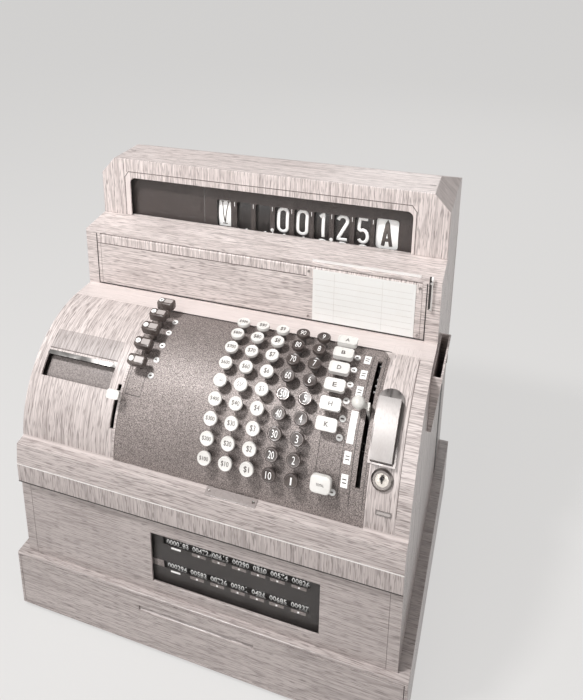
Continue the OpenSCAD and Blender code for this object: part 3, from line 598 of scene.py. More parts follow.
worn_plastic("dark_ink", (0.09, 0.075, 0.07, 1), 0.4)
worn_plastic("white_ink", (0.93, 0.915, 0.9, 1), 0.35)
for row in AMOUNT_ROWS:
    dark_parts, light_parts = [], []
    for column, (pattern, width, height) in enumerate(COLUMN_TEXT):
        text = pattern % row
        numeral = lettering(text, NARROW_ONE if text == "1" else width, height, 0.5, 0.0, -0.004)
        stand(numeral, FIRST_X + column * KEY_PITCH, row_angle(row), KEY_TOP - NUMERAL_SEAT)
        (dark_parts if column < IVORY_COLUMNS else light_parts).append(numeral)
    dress(dark_parts, "dark_ink", f"dark_numerals_row_{row}", f"key_row_{row}")
    dress(light_parts, "white_ink", f"light_numerals_row_{row}", f"key_row_{row}")
print("numerals:", len(AMOUNT_ROWS) * len(COLUMN_TEXT))

# %% [markdown]
# Each black head has a thin bright ring inlaid round its top. A ring is a slim band, made from a
# disc whose two caps are inset and then bridged through the middle.

# %% Rings on the black keys
RING_SEAT, RING_SIDES = 0.42, 32


def ring(outer, inner, thick):
    piece = round_blank(outer, thick, 0.0, RING_SIDES)
    select_only(piece, "FACE", lambda face: abs(face.normal.z) > 0.9)
    bpy.ops.mesh.inset(thickness=(outer - inner) * MM)
    bpy.ops.mesh.bridge_edge_loops()
    to_mode("OBJECT")
    return piece


ring_model = ring(6.9, 6.55, 0.3)
for row in AMOUNT_ROWS:
    rings = []
    for column in range(IVORY_COLUMNS, len(COLUMN_TEXT)):
        x = FIRST_X + column * KEY_PITCH
        rings.append(stand(copy_of(ring_model, "ring"), x, row_angle(row), KEY_TOP - RING_SEAT))
    dress(rings, "cap_metal", f"key_rings_row_{row}", f"key_row_{row}")
bpy.data.objects.remove(ring_model)
print("rings in each row:", len(rings))

# %% [markdown]
# The department keys carry one letter each. Their tops are recessed inside a rolled rim, so the
# letters stand on the recess.

# %% Letters on the department keys
DEPT_X, DEPT_TOP, DEPT_RECESS = 141.5, 159.2, 0.5
DEPT_ROWS = {"A": 9, "B": 8, "D": 7, "E": 6, "H": 5, "K": 4}
for letter, row in DEPT_ROWS.items():
    piece = lettering(letter, 4.6, 5.2, 0.3, 0.0, 0.01)
    stand(piece, DEPT_X, row_angle(row), DEPT_TOP - DEPT_RECESS)
    dress(piece, "dark_ink", f"letter_{letter.lower()}", f"dept_key_{letter.lower()}")
print("letters:", "".join(DEPT_ROWS))

# %% [markdown]
# A clerk key has a dark glossy cap pulled over its head, with a paler label sunk along its top and
# a white round button at the left end. The cap is a rounded block whose upper edges are bevelled:
# the edges of the top face are found by the height of both their ends.

# %% Clerk key caps, labels and buttons
CLERK_X, CLERK_TOP = -94.4, 166.1
CLERK_ROWS = (9, 8, 7, 6, 5)
LABEL_SHIFT, BUTTON_SHIFT = 3.6, -6.2
SMOOTH_BELOW = radians(35)
worn_plastic("cap_plastic", (0.075, 0.058, 0.053, 1), 0.2)
worn_plastic("label_plastic", (0.42, 0.38, 0.365, 1), 0.16)


def cap(width, length, height, corner, base, rim, segments=3):
    piece = plate(width, length, height, corner, base)
    top = (base + height) * MM

    def is_on_top(edge):
        return all(abs(piece.data.vertices[i].co.z - top) < NEAR for i in edge.vertices)

    select_only(piece, "EDGE", is_on_top)
    bpy.ops.mesh.bevel(offset=rim * MM, offset_type="OFFSET", segments=segments)
    to_mode("OBJECT")
    bpy.ops.object.shade_smooth_by_angle(angle=SMOOTH_BELOW)
    return piece


for n, row in enumerate(CLERK_ROWS, 1):
    for piece, shift, finish, kind in (
        (cap(22.4, 13.2, 9.4, 3.4, -8.9, 1.8), 0.0, "cap_plastic", "cap"),
        (plate(10.8, 7.2, 0.5, 1.4, 0.4), LABEL_SHIFT, "label_plastic", "label"),
        (disc(3.2, 0.8, 0.4, 0.5), BUTTON_SHIFT, "white_ink", "button"),
        (lettering(str(n), 1.5, 3.0, 0.2, 1.0), BUTTON_SHIFT, "dark_ink", "mark"),
    ):
        stand(piece, CLERK_X + shift, row_angle(row), CLERK_TOP)
        dress(piece, finish, f"clerk_{kind}_{n}", f"clerk_key_{n}")
print("clerk caps:", len(CLERK_ROWS))

# %% [markdown]
# Below every department and clerk key, and below the total key, sits a small white signal disc
# with a dark pointer. One disc and one pointer are modelled, and each spot on the key plate gets a
# copy.

# %% Signal discs
PLATE_R, DISC_SEAT = 142.5, 0.1
DEPT_DISC_X, CLERK_DISC_X, BELOW_KEY = 155.3, -79.3, 3.58
TOTAL_DISC = (155.6, 18.3)
spots = [(DEPT_DISC_X, row_angle(row) - BELOW_KEY) for row in DEPT_ROWS.values()]
spots += [(CLERK_DISC_X, row_angle(row) - BELOW_KEY) for row in CLERK_ROWS]
spots += [TOTAL_DISC]
disc_model = disc(3.7, 1.2, 0.0, 0.7)
pointer_model = plate(3.4, 1.5, 0.3, 0.5, 0.95, 2)
discs, pointers = [], []
for x, angle in spots:
    discs.append(stand(copy_of(disc_model, "disc"), x, angle, PLATE_R - DISC_SEAT))
    pointers.append(stand(copy_of(pointer_model, "pointer"), x - 0.4, angle, PLATE_R - DISC_SEAT))
dress(discs, "white_ink", "signal_discs")
dress(pointers, "dark_ink", "signal_pointers")
for model in (disc_model, pointer_model):
    bpy.data.objects.remove(model)
print("signal discs:", len(spots))

# %% [markdown]
# The total key at the foot of the last column is a rounded head on a flat stem, with a short word
# on top. It stands in the place of the solid key.

# %% Total key
TOTAL_X, TOTAL_ANGLE = 144.7, 22.3
total_head = stand(cap(22.4, 18.8, 8.6, 5.0, -8.6, 1.6), TOTAL_X, TOTAL_ANGLE, DEPT_TOP)
total_stem = stand(plate(9.0, 3.0, 34.0, 0.6, -42.4), TOTAL_X, TOTAL_ANGLE, DEPT_TOP)
total_piece = dress([total_head, total_stem], "broad_plastic", "total_cap", "total_key")
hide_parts("total_key")
word = stand(lettering("TOTAL", 8.4, 2.6, 0.3), TOTAL_X, TOTAL_ANGLE, DEPT_TOP)
dress(word, "dark_ink", "total_word", "total_key")
print("total key faces:", len(total_piece.data.polygons))

# %% [markdown]
# Down the right of the plate run white label strips beside the control lever's slot, with short
# printed lines. A strip is a plate cut into rows so that it can bend round the curve; the printed
# lines are left as plain bars. Thin dark rules divide the plate.

# %% Label strips on the key plate


def curved_plate(width, low, high, thick, x, radius=PLATE_R, step=1.5, base=0.0):
    """A plate in millimetres that hugs the key plate's curve from one angle to another."""
    length = radians(high - low) * radius
    rows = max(2, ceil((high - low) / step) + 1)
    fresh()
    bpy.ops.mesh.primitive_grid_add(x_subdivisions=1, y_subdivisions=rows, size=1)
    piece = bpy.context.object
    piece.data.transform(Matrix.Diagonal((width * MM, length * MM, 1, 1)))
    piece.data.transform(Matrix.Translation((0, 0, base * MM)))
    to_mode("EDIT")
    bpy.ops.mesh.select_all(action="SELECT")
    bpy.ops.mesh.extrude_region_move(TRANSFORM_OT_translate={"value": (0, 0, thick * MM)})
    bpy.ops.mesh.select_all(action="SELECT")
    bpy.ops.mesh.normals_make_consistent(inside=False)
    to_mode("OBJECT")
    return wrap(piece, x, (low + high) / 2, radius)


LABELS = ((78.4, 83.6), (69.3, 74.2), (60.4, 65.3), (39.6, 53.5), (31.2, 36.4), (21.4, 27.0))
LABEL_X, BARE_FROM, HALF_BAR = 167.0, 8, 0.24
strips, bars = [], []
for low, high in LABELS:
    strips.append(curved_plate(7.4, low, high, 0.5, LABEL_X))
    if high - low < BARE_FROM:
        for share in (0.36, 0.62):
            angle = low + (high - low) * share
            ends = (angle - HALF_BAR, angle + HALF_BAR)
            bars.append(curved_plate(4.4, *ends, 0.15, LABEL_X, PLATE_R, 1, 0.5))
dress(strips, "white_ink", "label_strips")
dress(bars, "dark_ink", "label_bars")
# Each rule's width, lowest and highest angle, thickness and place across
PLATE_RULES = (
    (0.5, 15.5, 42.5, 0.25, 135.0), (0.5, 15.5, 42.5, 0.25, 161.0), (0.6, 14.0, 85.0, 0.3, 173.6),
    (0.5, 14.0, 85.0, 0.25, 188.2), (0.4, 38.4, 52.0, 0.2, -106.0), (0.4, 38.4, 52.0, 0.2, -86.0),
    (20.4, 38.2, 38.5, 0.2, -96.0),
)
grained_enamel("rule_enamel", (0.03, 0.025, 0.024, 1), (0.07, 0.06, 0.056, 1))
rules = [curved_plate(*rule) for rule in PLATE_RULES]
dress(rules, "rule_enamel", "plate_rules")
print("labels:", len(LABELS), "rules:", len(PLATE_RULES))

# %% [markdown]
# The figures of the wheels are drawn with one round stroke, like a sign writer's. Each is a path
# of points swept by a bevelled curve, flattened to a thin inlay and bent round the wheel. The two
# leading wheels leave their nought blank, so that small sums show no noughts in front. Their paint
# is a bright signal white with a faint painted glow, which lifts figures that sit in shade.

# %% Wheel figures
WHEEL_AXIS, WHEEL_R, WHEEL_PITCH, FIRST_WHEEL = (117.0, 488.0), 60.0, 26.8, -29.3
WHEEL_XS = [FIRST_WHEEL + n * WHEEL_PITCH for n in range(7)]
SIGHT_ANGLE, FIGURE_STEP = 4.2, 36
# Half a figure's width and height, half a letter's height, and the stroke's radius
W, H, L, STROKE = 6.2, 15.9, 14.5, 2.3
LONGEST_STEP = 3.0
figure_ink_painted_glow = worn_plastic("figure_ink_painted_glow", (0.97, 0.96, 0.94, 1), 0.55, (0.8, 0.77, 0.73, 1))
figure_shader = figure_ink_painted_glow.node_tree.nodes["Principled BSDF"]
# Painted glow: a faint emission brightens the figures, tiles and counters in shade behind the glass
figure_shader.inputs["Emission Color"].default_value = (1, 0.98, 0.96, 1)
figure_shader.inputs["Emission Strength"].default_value = 0.16


def bow(cx, cy, rx, ry, start, end, steps=10):
    turn = [radians(start + (end - start) * i / steps) for i in range(steps + 1)]
    return [(cx + rx * cos(t), cy + ry * sin(t)) for t in turn]


FIGURES = {
    "0": [bow(0, H - W, W, W, 180, 0) + bow(0, W - H, W, W, 0, -180) + [(-W, H - W)]],
    "1": [[(-3.4, H - 4.5), (1.4, H), (1.4, -H)]],
    "2": [bow(0, H - W, W, W, 172, -28) + [(-W, -H), (W, -H)]],
    "3": [bow(0, H - 7, W, 7, 155, -90) + bow(0, -H + 8.6, W, 8.6, 90, -152)],
    "4": [[(2.2, -H), (2.2, H), (-W, -6), (W, -6)]],
    "5": [[(W * 0.85, H), (-W * 0.8, H), (-W * 0.9, 2.2)] + bow(0, -H + 8.6, W, 8.8, 118, -150)],
    "6": [bow(0, H - W, W, W, 20, 180) + [(-W, -H + 8)] + bow(0, -H + 8, W, 8, 180, 540, 16)],
    "7": [[(-W, H), (W, H), (-1.6, -H)]],
    "8": [bow(0, H - 7.2, 5.0, 7.2, -90, 270, 16), bow(0, -H + 8.4, W, 8.4, 90, 450, 16)],
    "9": [bow(0, W - H, W, W, 200, 360) + [(W, H - 8)] + bow(0, H - 8, W, 8, 0, 360, 16)],
    "V": [
        [(-4.3, 15.5), (0, -15.0), (4.3, 15.5)],
        [(-6.2, 15.6), (-2.4, 15.6)],
        [(6.2, 15.6), (2.4, 15.6)],
        [(-3.4, -15.6), (3.4, -15.6)],
    ],
    "A": [[(-5.2, -16.5), (0, 16.5), (5.2, -16.5)], [(-3.6, -7.6), (3.6, -7.6)]],
    "B": [
        [(-6, -L), (-6, L), (0, L)] + bow(0, 7.6, 6, 6.9, 90, -90) + [(-6, 0.7)],
        bow(0, -6.9, 7, 7.6, 90, -90) + [(-6, -L)],
    ],
    "D": [[(-6, -L), (-6, L)] + bow(-1, 0, 8, L, 90, -90) + [(-6, -L)]],
    "E": [[(6, L), (-6, L), (-6, -L), (6, -L)], [(-6, 0.6), (4, 0.6)]],
    "H": [[(-6, -L), (-6, L)], [(6, -L), (6, L)], [(-6, 0.6), (6, 0.6)]],
    "K": [[(-6, -L), (-6, L)], [(6, L), (-6, -1.5)], [(-2, 3.2), (6.4, -L)]],
}


def stroked(name, thick=0.5, stroke=STROKE, base=0.0):
    curve = bpy.data.curves.new(name, "CURVE")
    curve.dimensions = "3D"
    curve.bevel_depth = stroke * MM
    curve.bevel_resolution = 1
    curve.use_fill_caps = True
    for path in FIGURES[name]:
        path_points = []
        for (x0, y0), (x1, y1) in zip(path, path[1:]):
            count = max(1, ceil(hypot(x1 - x0, y1 - y0) / LONGEST_STEP))
            path_points += [(x0 + (x1 - x0) * i / count, y0 + (y1 - y0) * i / count) for i in range(count)]
        path_points.append(path[-1])
        line = curve.splines.new("POLY")
        line.points.add(len(path_points) - 1)
        for point, (x, y) in zip(line.points, path_points):
            point.co = (x * MM, y * MM, 0, 1)
    holder = bpy.data.objects.new(name, curve)
    SCENE.collection.objects.link(holder)
    pick([holder])
    bpy.ops.object.convert(target="MESH")
    piece = bpy.context.object
    squeeze = Matrix.Diagonal((1, 1, thick / (2 * stroke), 1))
    piece.data.transform(Matrix.Translation((0, 0, (base + thick / 2) * MM)) @ squeeze)
    return piece


def on_wheel(piece, x, turn):
    """Bends a lying piece round the wheels' axis, a turn in degrees below the sight line."""
    return wrap(piece, x, SIGHT_ANGLE - turn, WHEEL_R, WHEEL_AXIS)


figure_models = {name: stroked(name) for name in "0123456789"}
SHOWN = "0000125"
BLANK_NOUGHTS = 2
for n, (x, shown) in enumerate(zip(WHEEL_XS, SHOWN), 1):
    figures = []
    for step in range(10):
        digit = str((int(shown) + step) % 10)
        if digit != "0" or n > BLANK_NOUGHTS:
            figures.append(on_wheel(copy_of(figure_models[digit], "figure"), x, FIGURE_STEP * step))
    dress(figures, "figure_ink_painted_glow", f"wheel_figures_{n}", f"figure_wheel_{n}")
for model in figure_models.values():
    bpy.data.objects.remove(model)
print("figures shown:", SHOWN)

# %% [markdown]
# The letter wheel shows a dark letter on a white tile, and the flag wheel a narrow tile with a
# flag letter. A tile is a rounded plate cut into rows, so that it bends round its wheel.

# %% Tiles on the letter and flag wheels
FLAG_X, LETTER_X, LETTER_STEP, TILE_ROWS = -58.6, 162.2, 60, 8


def tile(width, length, x, turn, corner):
    piece = plate(width, length, 0.5, corner, 0.0, 3)
    to_mode("EDIT")
    for i in range(1, TILE_ROWS):
        bpy.ops.mesh.select_all(action="SELECT")
        cut = (-0.5 + i / TILE_ROWS) * length * MM
        bpy.ops.mesh.bisect(plane_co=(0, cut, 0), plane_no=(0, 1, 0))
    to_mode("OBJECT")
    return on_wheel(piece, x, turn)


tiles = [tile(28.0, 42.0, LETTER_X, LETTER_STEP * i, 4.5) for i in range(len(DEPT_ROWS))]
letters = []
for i, name in enumerate(DEPT_ROWS):
    letters.append(on_wheel(stroked(name, 0.4, STROKE, 0.5), LETTER_X, LETTER_STEP * i))
# The tiles carry the figures' paint and its painted glow
dress(tiles, "figure_ink_painted_glow", "letter_tiles", "letter_wheel")
dress(letters, "dark_ink", "letter_figures", "letter_wheel")
dress(tile(18.2, 40.0, FLAG_X, 0, 1.0), "figure_ink_painted_glow", "flag_tile", "flag_wheel")
flag_mark = on_wheel(stroked("V", 0.4, 0.7, 0.5), FLAG_X, 0)
dress(flag_mark, "dark_ink", "flag_figure", "flag_wheel")
print("tiles:", len(tiles) + 1)

# %% [markdown]
# The mask behind the window is a pressed sheet with a rounded sight opening before each wheel. It
# is made here from a plate that stands upright, returned at both ends, with the openings cut out
# by a joined row of rounded blocks. It stands in the place of the solid mask.

# %% Indicator mask with its sight openings
MASK_HALF, MASK_FRONT, MASK_BACK, MASK_LOW, MASK_TOP = 200.8, 52.6, 54.6, 471.5, 538.3
SIGHT_LOW, SIGHT_TOP, SIGHT_W, LETTER_SIGHT_W = 473.2, 512.2, 20.6, 30.4
RETURN_LOW, RETURN_X, TAB_Z = 477.0, 200.2, 508.5


def upright(piece, x, y, z):
    """Stands a lying piece on a front face, its top towards the operator."""
    return stand(piece, x, 0, 0, (y, z))


def pressed_sheet(name, low, high, openings, front, back):
    """An upright sheet from a low to a high corner (x, z), with rounded openings cut through."""
    middle = [(a + b) / 2 for a, b in zip(low, high)]
    blank = plate(high[0] - low[0], high[1] - low[1], back - front)
    sheet = joined([upright(blank, middle[0], back, middle[1])], name)
    cutters = [upright(plate(w, h, 8, corner), x, back + 3, z) for x, z, w, h, corner in openings]
    cutter = joined(cutters, "cutter")
    pick([sheet])
    cut = sheet.modifiers.new("cut", "BOOLEAN")
    cut.operation, cut.solver, cut.object = "DIFFERENCE", "EXACT", cutter
    bpy.ops.object.modifier_apply(modifier="cut")
    bpy.data.objects.remove(cutter)
    return sheet


sight_z, sight_h = (SIGHT_LOW + SIGHT_TOP) / 2, SIGHT_TOP - SIGHT_LOW
sights = [(x, sight_z, SIGHT_W, sight_h, 2.6) for x in [FLAG_X] + WHEEL_XS]
sights += [(LETTER_X, sight_z + 1.2, LETTER_SIGHT_W, sight_h + 2.4, 4.6)]
mask_sheet = pressed_sheet(
    "mask_sheet", (-MASK_HALF, MASK_LOW), (MASK_HALF, MASK_TOP), sights, MASK_FRONT, MASK_BACK
)
return_h, return_z = MASK_TOP - RETURN_LOW, (RETURN_LOW + MASK_TOP) / 2
returns = [upright(plate(1.2, return_h, 7.0), side * RETURN_X, MASK_BACK, return_z) for side in (-1, 1)]
mask_piece = dress([mask_sheet] + returns, "mask_enamel", "mask_pressing")
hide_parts("indicator_mask")

tab_xs = [FIRST_WHEEL - WHEEL_PITCH / 2 + n * WHEEL_PITCH for n in range(8)]
tabs = [upright(plate(0.7, 6.0, 0.5), x, MASK_FRONT, TAB_Z) for x in tab_xs]
dress(tabs, "white_ink", "mask_tabs")
seam = upright(plate(0.8, return_h, 0.4), -87, MASK_FRONT, return_z)
dress(seam, "frame_enamel", "mask_seam")
comma_x = FIRST_WHEEL + 1.5 * WHEEL_PITCH
point = upright(disc(2.3, 0.6, 0.0, 0.2), FIRST_WHEEL + 4.5 * WHEEL_PITCH, MASK_FRONT, 476.6)
comma_dot = upright(disc(2.3, 0.6, 0.0, 0.2), comma_x, MASK_FRONT, 478.6)
comma_tail = upright(plate(1.5, 4.6, 0.5, 0.5), comma_x + 0.7, MASK_FRONT, 476.4)
dress([point, comma_dot, comma_tail], "white_ink", "points")
print("sight openings:", len(sights))

# %% [markdown]
# Fine dark lines are inlaid in the printed wood: round the window, under the lid's band and beside
# the console. The dark lines round the lid's foot and sides and along the rail's foot are painted
# shade in the gaps there. A line is a narrow plate, and one that turns a corner is several plates
# joined. Edges that catch the light get painted highlights: pale strips laid the same way.

# %% Inlaid lines and edges
HOOD_Y, LID_Y, RAIL_Y = 41.0, -11.0, -205.0
LEDGE_LINE_Z, LID_FOOT_Z, RAIL_FOOT_Z = 388.2, 391.4, 204.4


def strip(x0, z0, x1, z1, width, y, thick=0.25):
    """A straight line in millimetres on a front face, from one point to another."""
    length = hypot(x1 - x0, z1 - z0)
    piece = plate(length + width * 0.4, width, thick)
    piece.data.transform(Matrix.Rotation(atan2(z1 - z0, x1 - x0), 4, "Z"))
    return upright(piece, (x0 + x1) / 2, y, (z0 + z1) / 2)


grained_enamel("line_enamel", (0.10, 0.08, 0.075, 1), (0.2, 0.165, 0.155, 1), 600.0, 0.5, 0.2)
# Painted highlight: the pale paint of edges that catch the light
worn_plastic("edge_highlight_paint", (0.78, 0.75, 0.73, 1), 0.3)
WINDOW_PATH = (
    (-202.8, 477.5), (-202.8, 533.5), (-197, 541.5), (193, 541.5), (199, 533.5), (199, 477.5)
)
lines = [strip(*a, *b, 0.9, HOOD_Y) for a, b in zip(WINDOW_PATH, WINDOW_PATH[1:])]
dress(lines, "line_enamel", "hood_line")
lid_line = strip(-221, 452.2, 76, 452.2, 1.0, LID_Y)
dress(lid_line, "line_enamel", "lid_line", "printer_lid")
# Painted shade: dark lines in the gaps at the lid's foot and sides and at the rail's foot
lines = [strip(-223, LID_FOOT_Z, 223, LID_FOOT_Z, 1.7, LID_Y)]
lines += [strip(-239, RAIL_FOOT_Z, 239, RAIL_FOOT_Z, 1.3, RAIL_Y)]
lines += [strip(side * 222.6, LID_FOOT_Z, side * 222.6, 466, 1.3, LID_Y) for side in (-1, 1)]
dress(lines, "wheel_enamel", "gap_shade_lines")
# Painted highlights on the rail's top edge and the shelf's front edge
edges = [strip(-239, 230.3, 239, 230.3, 1.3, RAIL_Y), strip(84, 473.2, 214, 473.2, 3.6, LID_Y + 3.0, 0.4)]
dress(edges, "edge_highlight_paint", "painted_edge_highlights")
plate_edge = stand(plate(300, 1.1, 0.3), 41, 90, 0, (-45.2, LEDGE_LINE_Z))
dress(plate_edge, "wheel_enamel", "plate_edge_line")
dress(curved_plate(0.7, 14.0, 88.0, 0.25, 224.0, 143.1), "line_enamel", "console_line")
print("window line parts:", len(WINDOW_PATH) - 1)

# %% [markdown]
# The price card is ruled with faint lines and held by four small studs on the lid. The lid swings,
# so the card's rules and studs ride on it.

# %% Rules and studs of the price card
CARD_FACE = LID_Y - 0.8
RULE_ZS, COLUMN_XS = range(403, 452, 8), (112, 171)
STUD_XS, STUD_ZS = (79.5, 214.5), (396.5, 459.0)
worn_plastic("rule_ink", (0.6, 0.57, 0.54, 1), 0.6)
rules = [strip(88, z, 207, z, 0.35, CARD_FACE, 0.12) for z in RULE_ZS]
rules += [strip(x, 396, x, 460, 0.35, CARD_FACE, 0.12) for x in COLUMN_XS]
dress(rules, "rule_ink", "card_rules", "printer_lid")
studs = [upright(disc(1.7, 0.9, 0.0, 0.5, 16), x, LID_Y, z) for x in STUD_XS for z in STUD_ZS]
dress(studs, "cap_metal", "card_studs", "printer_lid")
print("card rules:", len(rules), "studs:", len(studs))

# %% [markdown]
# The slip guide is a thin bright finger before a slot, which is drawn as a dark plate of painted
# shade, with a white roller at its top. It stands for the solid guide block.

# %% Slip guide
FINGER_X, FOOT_X, SLOT_X = 228.4, 227.8, 226.2
finger = upright(plate(1.5, 44.0, 1.4, 0.6), FINGER_X, -13.6, 455.6)
foot = upright(plate(3.6, 2.6, 3.2, 0.6), FOOT_X, LID_Y, 434.8)
head = upright(plate(3.6, 2.6, 3.2, 0.6), FOOT_X, LID_Y, 468.6)
guide_piece = dress([finger, foot, head], "bright_metal", "slip_finger")
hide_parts("slip_guide")
roller = upright(cap(2.8, 5.0, 1.4, 1.2, 0.0, 0.4), FINGER_X, -14.4, 475.6)
dress(roller, "white_ink", "slip_roller")
# Painted shade: a dark plate stands for the slot behind the finger
slot_shade = upright(plate(3.4, 44.0, 0.3, 1.2), SLOT_X, LID_Y, 454.4)
dress(slot_shade, "wheel_enamel", "slip_slot_shade")
print("slip guide faces:", len(guide_piece.data.polygons))

# %% [markdown]
# The receipt outlet on the left cheek has a bright tear bar along its upper lip and a sloped plate
# below it, over which the paper runs. Above it the cheek is darker over a patch.

# %% Receipt outlet
OUTLET_X, CHEEK_R = -176.5, 143.0
tear_bar = curved_plate(97.5, 48.9, 51.0, 1.6, OUTLET_X, 141.6, 0.7)
dress(tear_bar, "bright_metal", "tear_bar")
grained_enamel("chute_enamel", (0.17, 0.145, 0.137, 1), (0.3, 0.26, 0.247, 1), 500.0, 0.5, 0.3)
dress(curved_plate(95.0, 37.6, 49.4, 1.0, OUTLET_X, 131.0), "chute_enamel", "paper_chute")
printed_wood("patch_wood", (((-SIDES, -300, 100), (SIDES, 100, 500)),), 0.4, 0.42)
dress(curved_plate(97.0, 52.6, 62.5, 0.3, OUTLET_X, CHEEK_R), "patch_wood", "outlet_patch")
dress(curved_plate(97.0, 52.0, 52.5, 0.35, OUTLET_X, CHEEK_R), "line_enamel", "outlet_line")
print("tear bar faces:", len(tear_bar.data.polygons))

# %% [markdown]
# Small fittings of the front: a bare nameplate with two screws on the ledge, a bare label holder
# under the lock, and the keyhole in the lock's face, drawn as a dark plate of painted shade.

# %% Nameplate, label holder and keyhole
LEDGE_SLOPE, LEDGE = 80, (-193.8, 258.9)
HOLDER_X, CONSOLE_R = 211.0, 143.1
LOCK_X, LOCK_ANGLE, LOCK_FACE = 206.0, 29.4, 150.6
worn_plastic("plate_lacquer", (0.3, 0.265, 0.255, 1), 0.22)
name_plate = stand(cap(61, 11.6, 1.0, 1.0, 0.0, 0.4, 2), 44.0, LEDGE_SLOPE, 0, LEDGE)
dress(name_plate, "plate_lacquer", "bare_nameplate")
screws = [stand(disc(1.7, 0.7, 1.0, 0.4, 16), x, LEDGE_SLOPE, 0, LEDGE) for x in (17.5, 70.5)]
dress(screws, "bright_metal", "nameplate_screws")
holder = [curved_plate(16.0, low, low + 0.4, 0.9, HOLDER_X, CONSOLE_R, 0.5) for low in (13.9, 15.6)]
for x in (HOLDER_X - 7.7, HOLDER_X + 7.7):
    holder.append(curved_plate(0.7, 13.9, 16.0, 0.9, x, CONSOLE_R, 0.5))
dress(holder, "cap_metal", "label_holder")
bare_label = curved_plate(14.6, 14.2, 15.7, 0.4, HOLDER_X, CONSOLE_R, 0.5)
dress(bare_label, "label_plastic", "bare_label")
# Painted shade: the keyhole is a dark plate on the lock's face
key_slit = stand(plate(1.6, 7.4, 0.3, 0.5), LOCK_X, LOCK_ANGLE, LOCK_FACE)
key_round = stand(disc(2.1, 0.3, 0.0, 0.0, 20), LOCK_X, LOCK_ANGLE, LOCK_FACE)
dress([key_slit, key_round], "wheel_enamel", "keyhole", "lock_cylinder")

# %% [markdown]
# Behind the window in the front, each counter drum carries rows of small white figures, one row
# every thirty-six degrees. A row is one line of text, bent round the drum. A dark sheet with two
# slots covers the drums, so that only one row of each shows. Grey tags with a white mark name the
# groups of figures below each slot.

# %% Counter figures
DRUM_Y, DRUM_R, FIRST_ROW_ANGLE = -174.0, 13.0, -4
LINE_X, LINE_W, SLOT_W, SLOT_H = 46.0, 178, 182, 10.6
COVER_FRONT, COVER_BACK = -192.6, -191.4
# The height of each drum's axis, slot and tags, and the line that it shows
COUNTERS = {
    "upper_counter": (161.0, 166.4, 158.2, "0000183  00472  00615  00290  0310  00574  00826"),
    "lower_counter": (125.0, 130.4, 122.2, "000294  00583  00726  00301  0421  00685  00937"),
}


def group_middles(text):
    """Where the groups of a line stand, as shares of its width: two blanks are one figure wide."""
    middles, reach = [], 0.0
    for group in text.split("  "):
        middles.append(reach + len(group) / 2)
        reach += len(group) + 1
    return [middle / (reach - 1) for middle in middles]


for name, (axis_z, slot_z, tag_z, text) in COUNTERS.items():
    rows = []
    for step in range(10):
        shown = "".join(str((int(c) + step) % 10) if c.isdigit() else c for c in text)
        line = lettering(shown, LINE_W, 7.4, 0.25, 0.0, 0.012)
        turn = FIRST_ROW_ANGLE - FIGURE_STEP * step
        rows.append(wrap(line, LINE_X, turn, DRUM_R, (DRUM_Y, axis_z)))
    # The counter figures carry the painted glow of the figures' paint
    dress(rows, "figure_ink_painted_glow", f"{name}_figures", name)
    print(name, "rows:", len(rows))
slots = [(LINE_X, slot_z, SLOT_W, SLOT_H, 1.0) for axis_z, slot_z, tag_z, text in COUNTERS.values()]
cover = pressed_sheet("totals_cover", (-62, 101.5), (154, 184.5), slots, COVER_FRONT, COVER_BACK)
dress(cover, "wheel_enamel", "totals_cover")
blank_tag = upright(plate(16, 9.0, 0.5, 0.8), -53.0, COVER_FRONT, 130.4)
dress(blank_tag, "chute_enamel", "totals_tag")

tags, marks = [], []
for axis_z, slot_z, tag_z, text in COUNTERS.values():
    first, *others = [LINE_X + (share - 0.5) * LINE_W for share in group_middles(text)]
    marks.append(upright(plate(12.5, 2.6, 0.3, 0.4), first, COVER_FRONT, tag_z))
    for x in others:
        tags.append(upright(plate(17.5, 4.2, 0.3, 0.5), x, COVER_FRONT, tag_z))
        marks.append(upright(plate(2.2, 2.2, 0.3, 0.3), x, COVER_FRONT - 0.3, tag_z))
dress(tags, "chute_enamel", "counter_tags")
dress(marks, "white_ink", "counter_marks")

# %% [markdown]
# The right side carries a small keyhole lock, whose keyhole is a dark plate of painted shade, a
# black upright channel near the back and a pale strip of painted highlight along its back edge. The
# hood's top has two short slots, drawn as dark plates of painted shade. A piece is stood on the side
# by turning its top to the right.

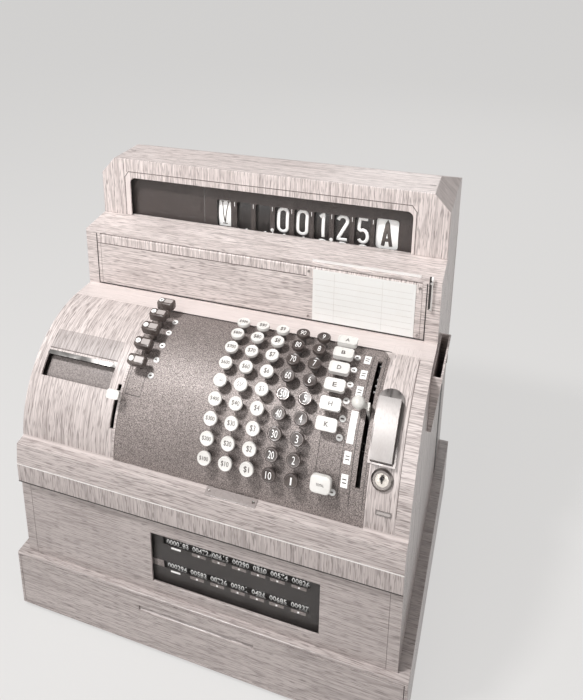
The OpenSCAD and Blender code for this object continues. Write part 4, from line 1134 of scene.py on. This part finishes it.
# %% Fittings of the side and the top
SIDE_X = 239
SIDE_LOCK = (SIDE_X, 184, 252)
HOOD_TOP, HOOD_SLOTS = 559.3, ((-209.8, 83.0), (213.0, 72.0))


def beside(piece, x, y, z):
    """Stands a lying piece on the right side, its top towards the right."""
    turn = Matrix(((0, 0, 1), (1, 0, 0), (0, 1, 0)))
    piece.data.transform(Matrix.Translation(Vector((x, y, z)) * MM) @ turn.to_4x4())
    piece.data.update()
    return piece


dress(beside(plate(24, 140, 0.5, 3.0), SIDE_X, 134, 164), "wheel_enamel", "side_channel")
dress(beside(disc(6.5, 2.0, 0.0, 0.8), *SIDE_LOCK), "cap_metal", "side_lock")
# Painted shade: the side lock's keyhole is a dark plate
dress(beside(plate(1.4, 5.4, 0.3, 0.4, 1.6), *SIDE_LOCK), "wheel_enamel", "side_keyhole")
# Painted highlight: a pale strip for the bright back edge of the side
back_highlight = beside(plate(3.0, 150, 0.4, 0.5), SIDE_X, 199, 380)
dress(back_highlight, "edge_highlight_paint", "side_back_highlight")
# Painted shade: the hood's slots are dark plates
slots = [stand(plate(9.0, 1.6, 0.2, 0.5), x, 90, 0, (y, HOOD_TOP)) for x, y in HOOD_SLOTS]
dress(slots, "wheel_enamel", "hood_slots")
print("hood slots:", len(HOOD_SLOTS))

# %% [markdown]
# The solids' sharp corners get a fine rounding that catches the light. Their triangles are loose,
# so each is welded first and then bevelled along edges that turn sharply. Only modifiers are used:
# the solids themselves stay as they are.

# %% Softened corners
SHARP_FROM = radians(40)
# Each solid's width of rounding in millimetres
SOFTENED = {
    "hood": 0.9, "slip_pocket": 0.6, "drawer_case": 0.9,
    "cash_drawer": 0.8, "front_panel": 0.5, "printer_lid": 0.6,
}
for name, width in SOFTENED.items():
    weld = nodes[name].modifiers.new("weld", "WELD")
    weld.merge_threshold = 0.00001
    soft = nodes[name].modifiers.new("soft", "BEVEL")
    soft.width, soft.segments = width * MM, 2
    soft.limit_method, soft.angle_limit = "ANGLE", SHARP_FROM
print("softened:", len(SOFTENED))

# %% [markdown]

# %% End
print("scene dressed")
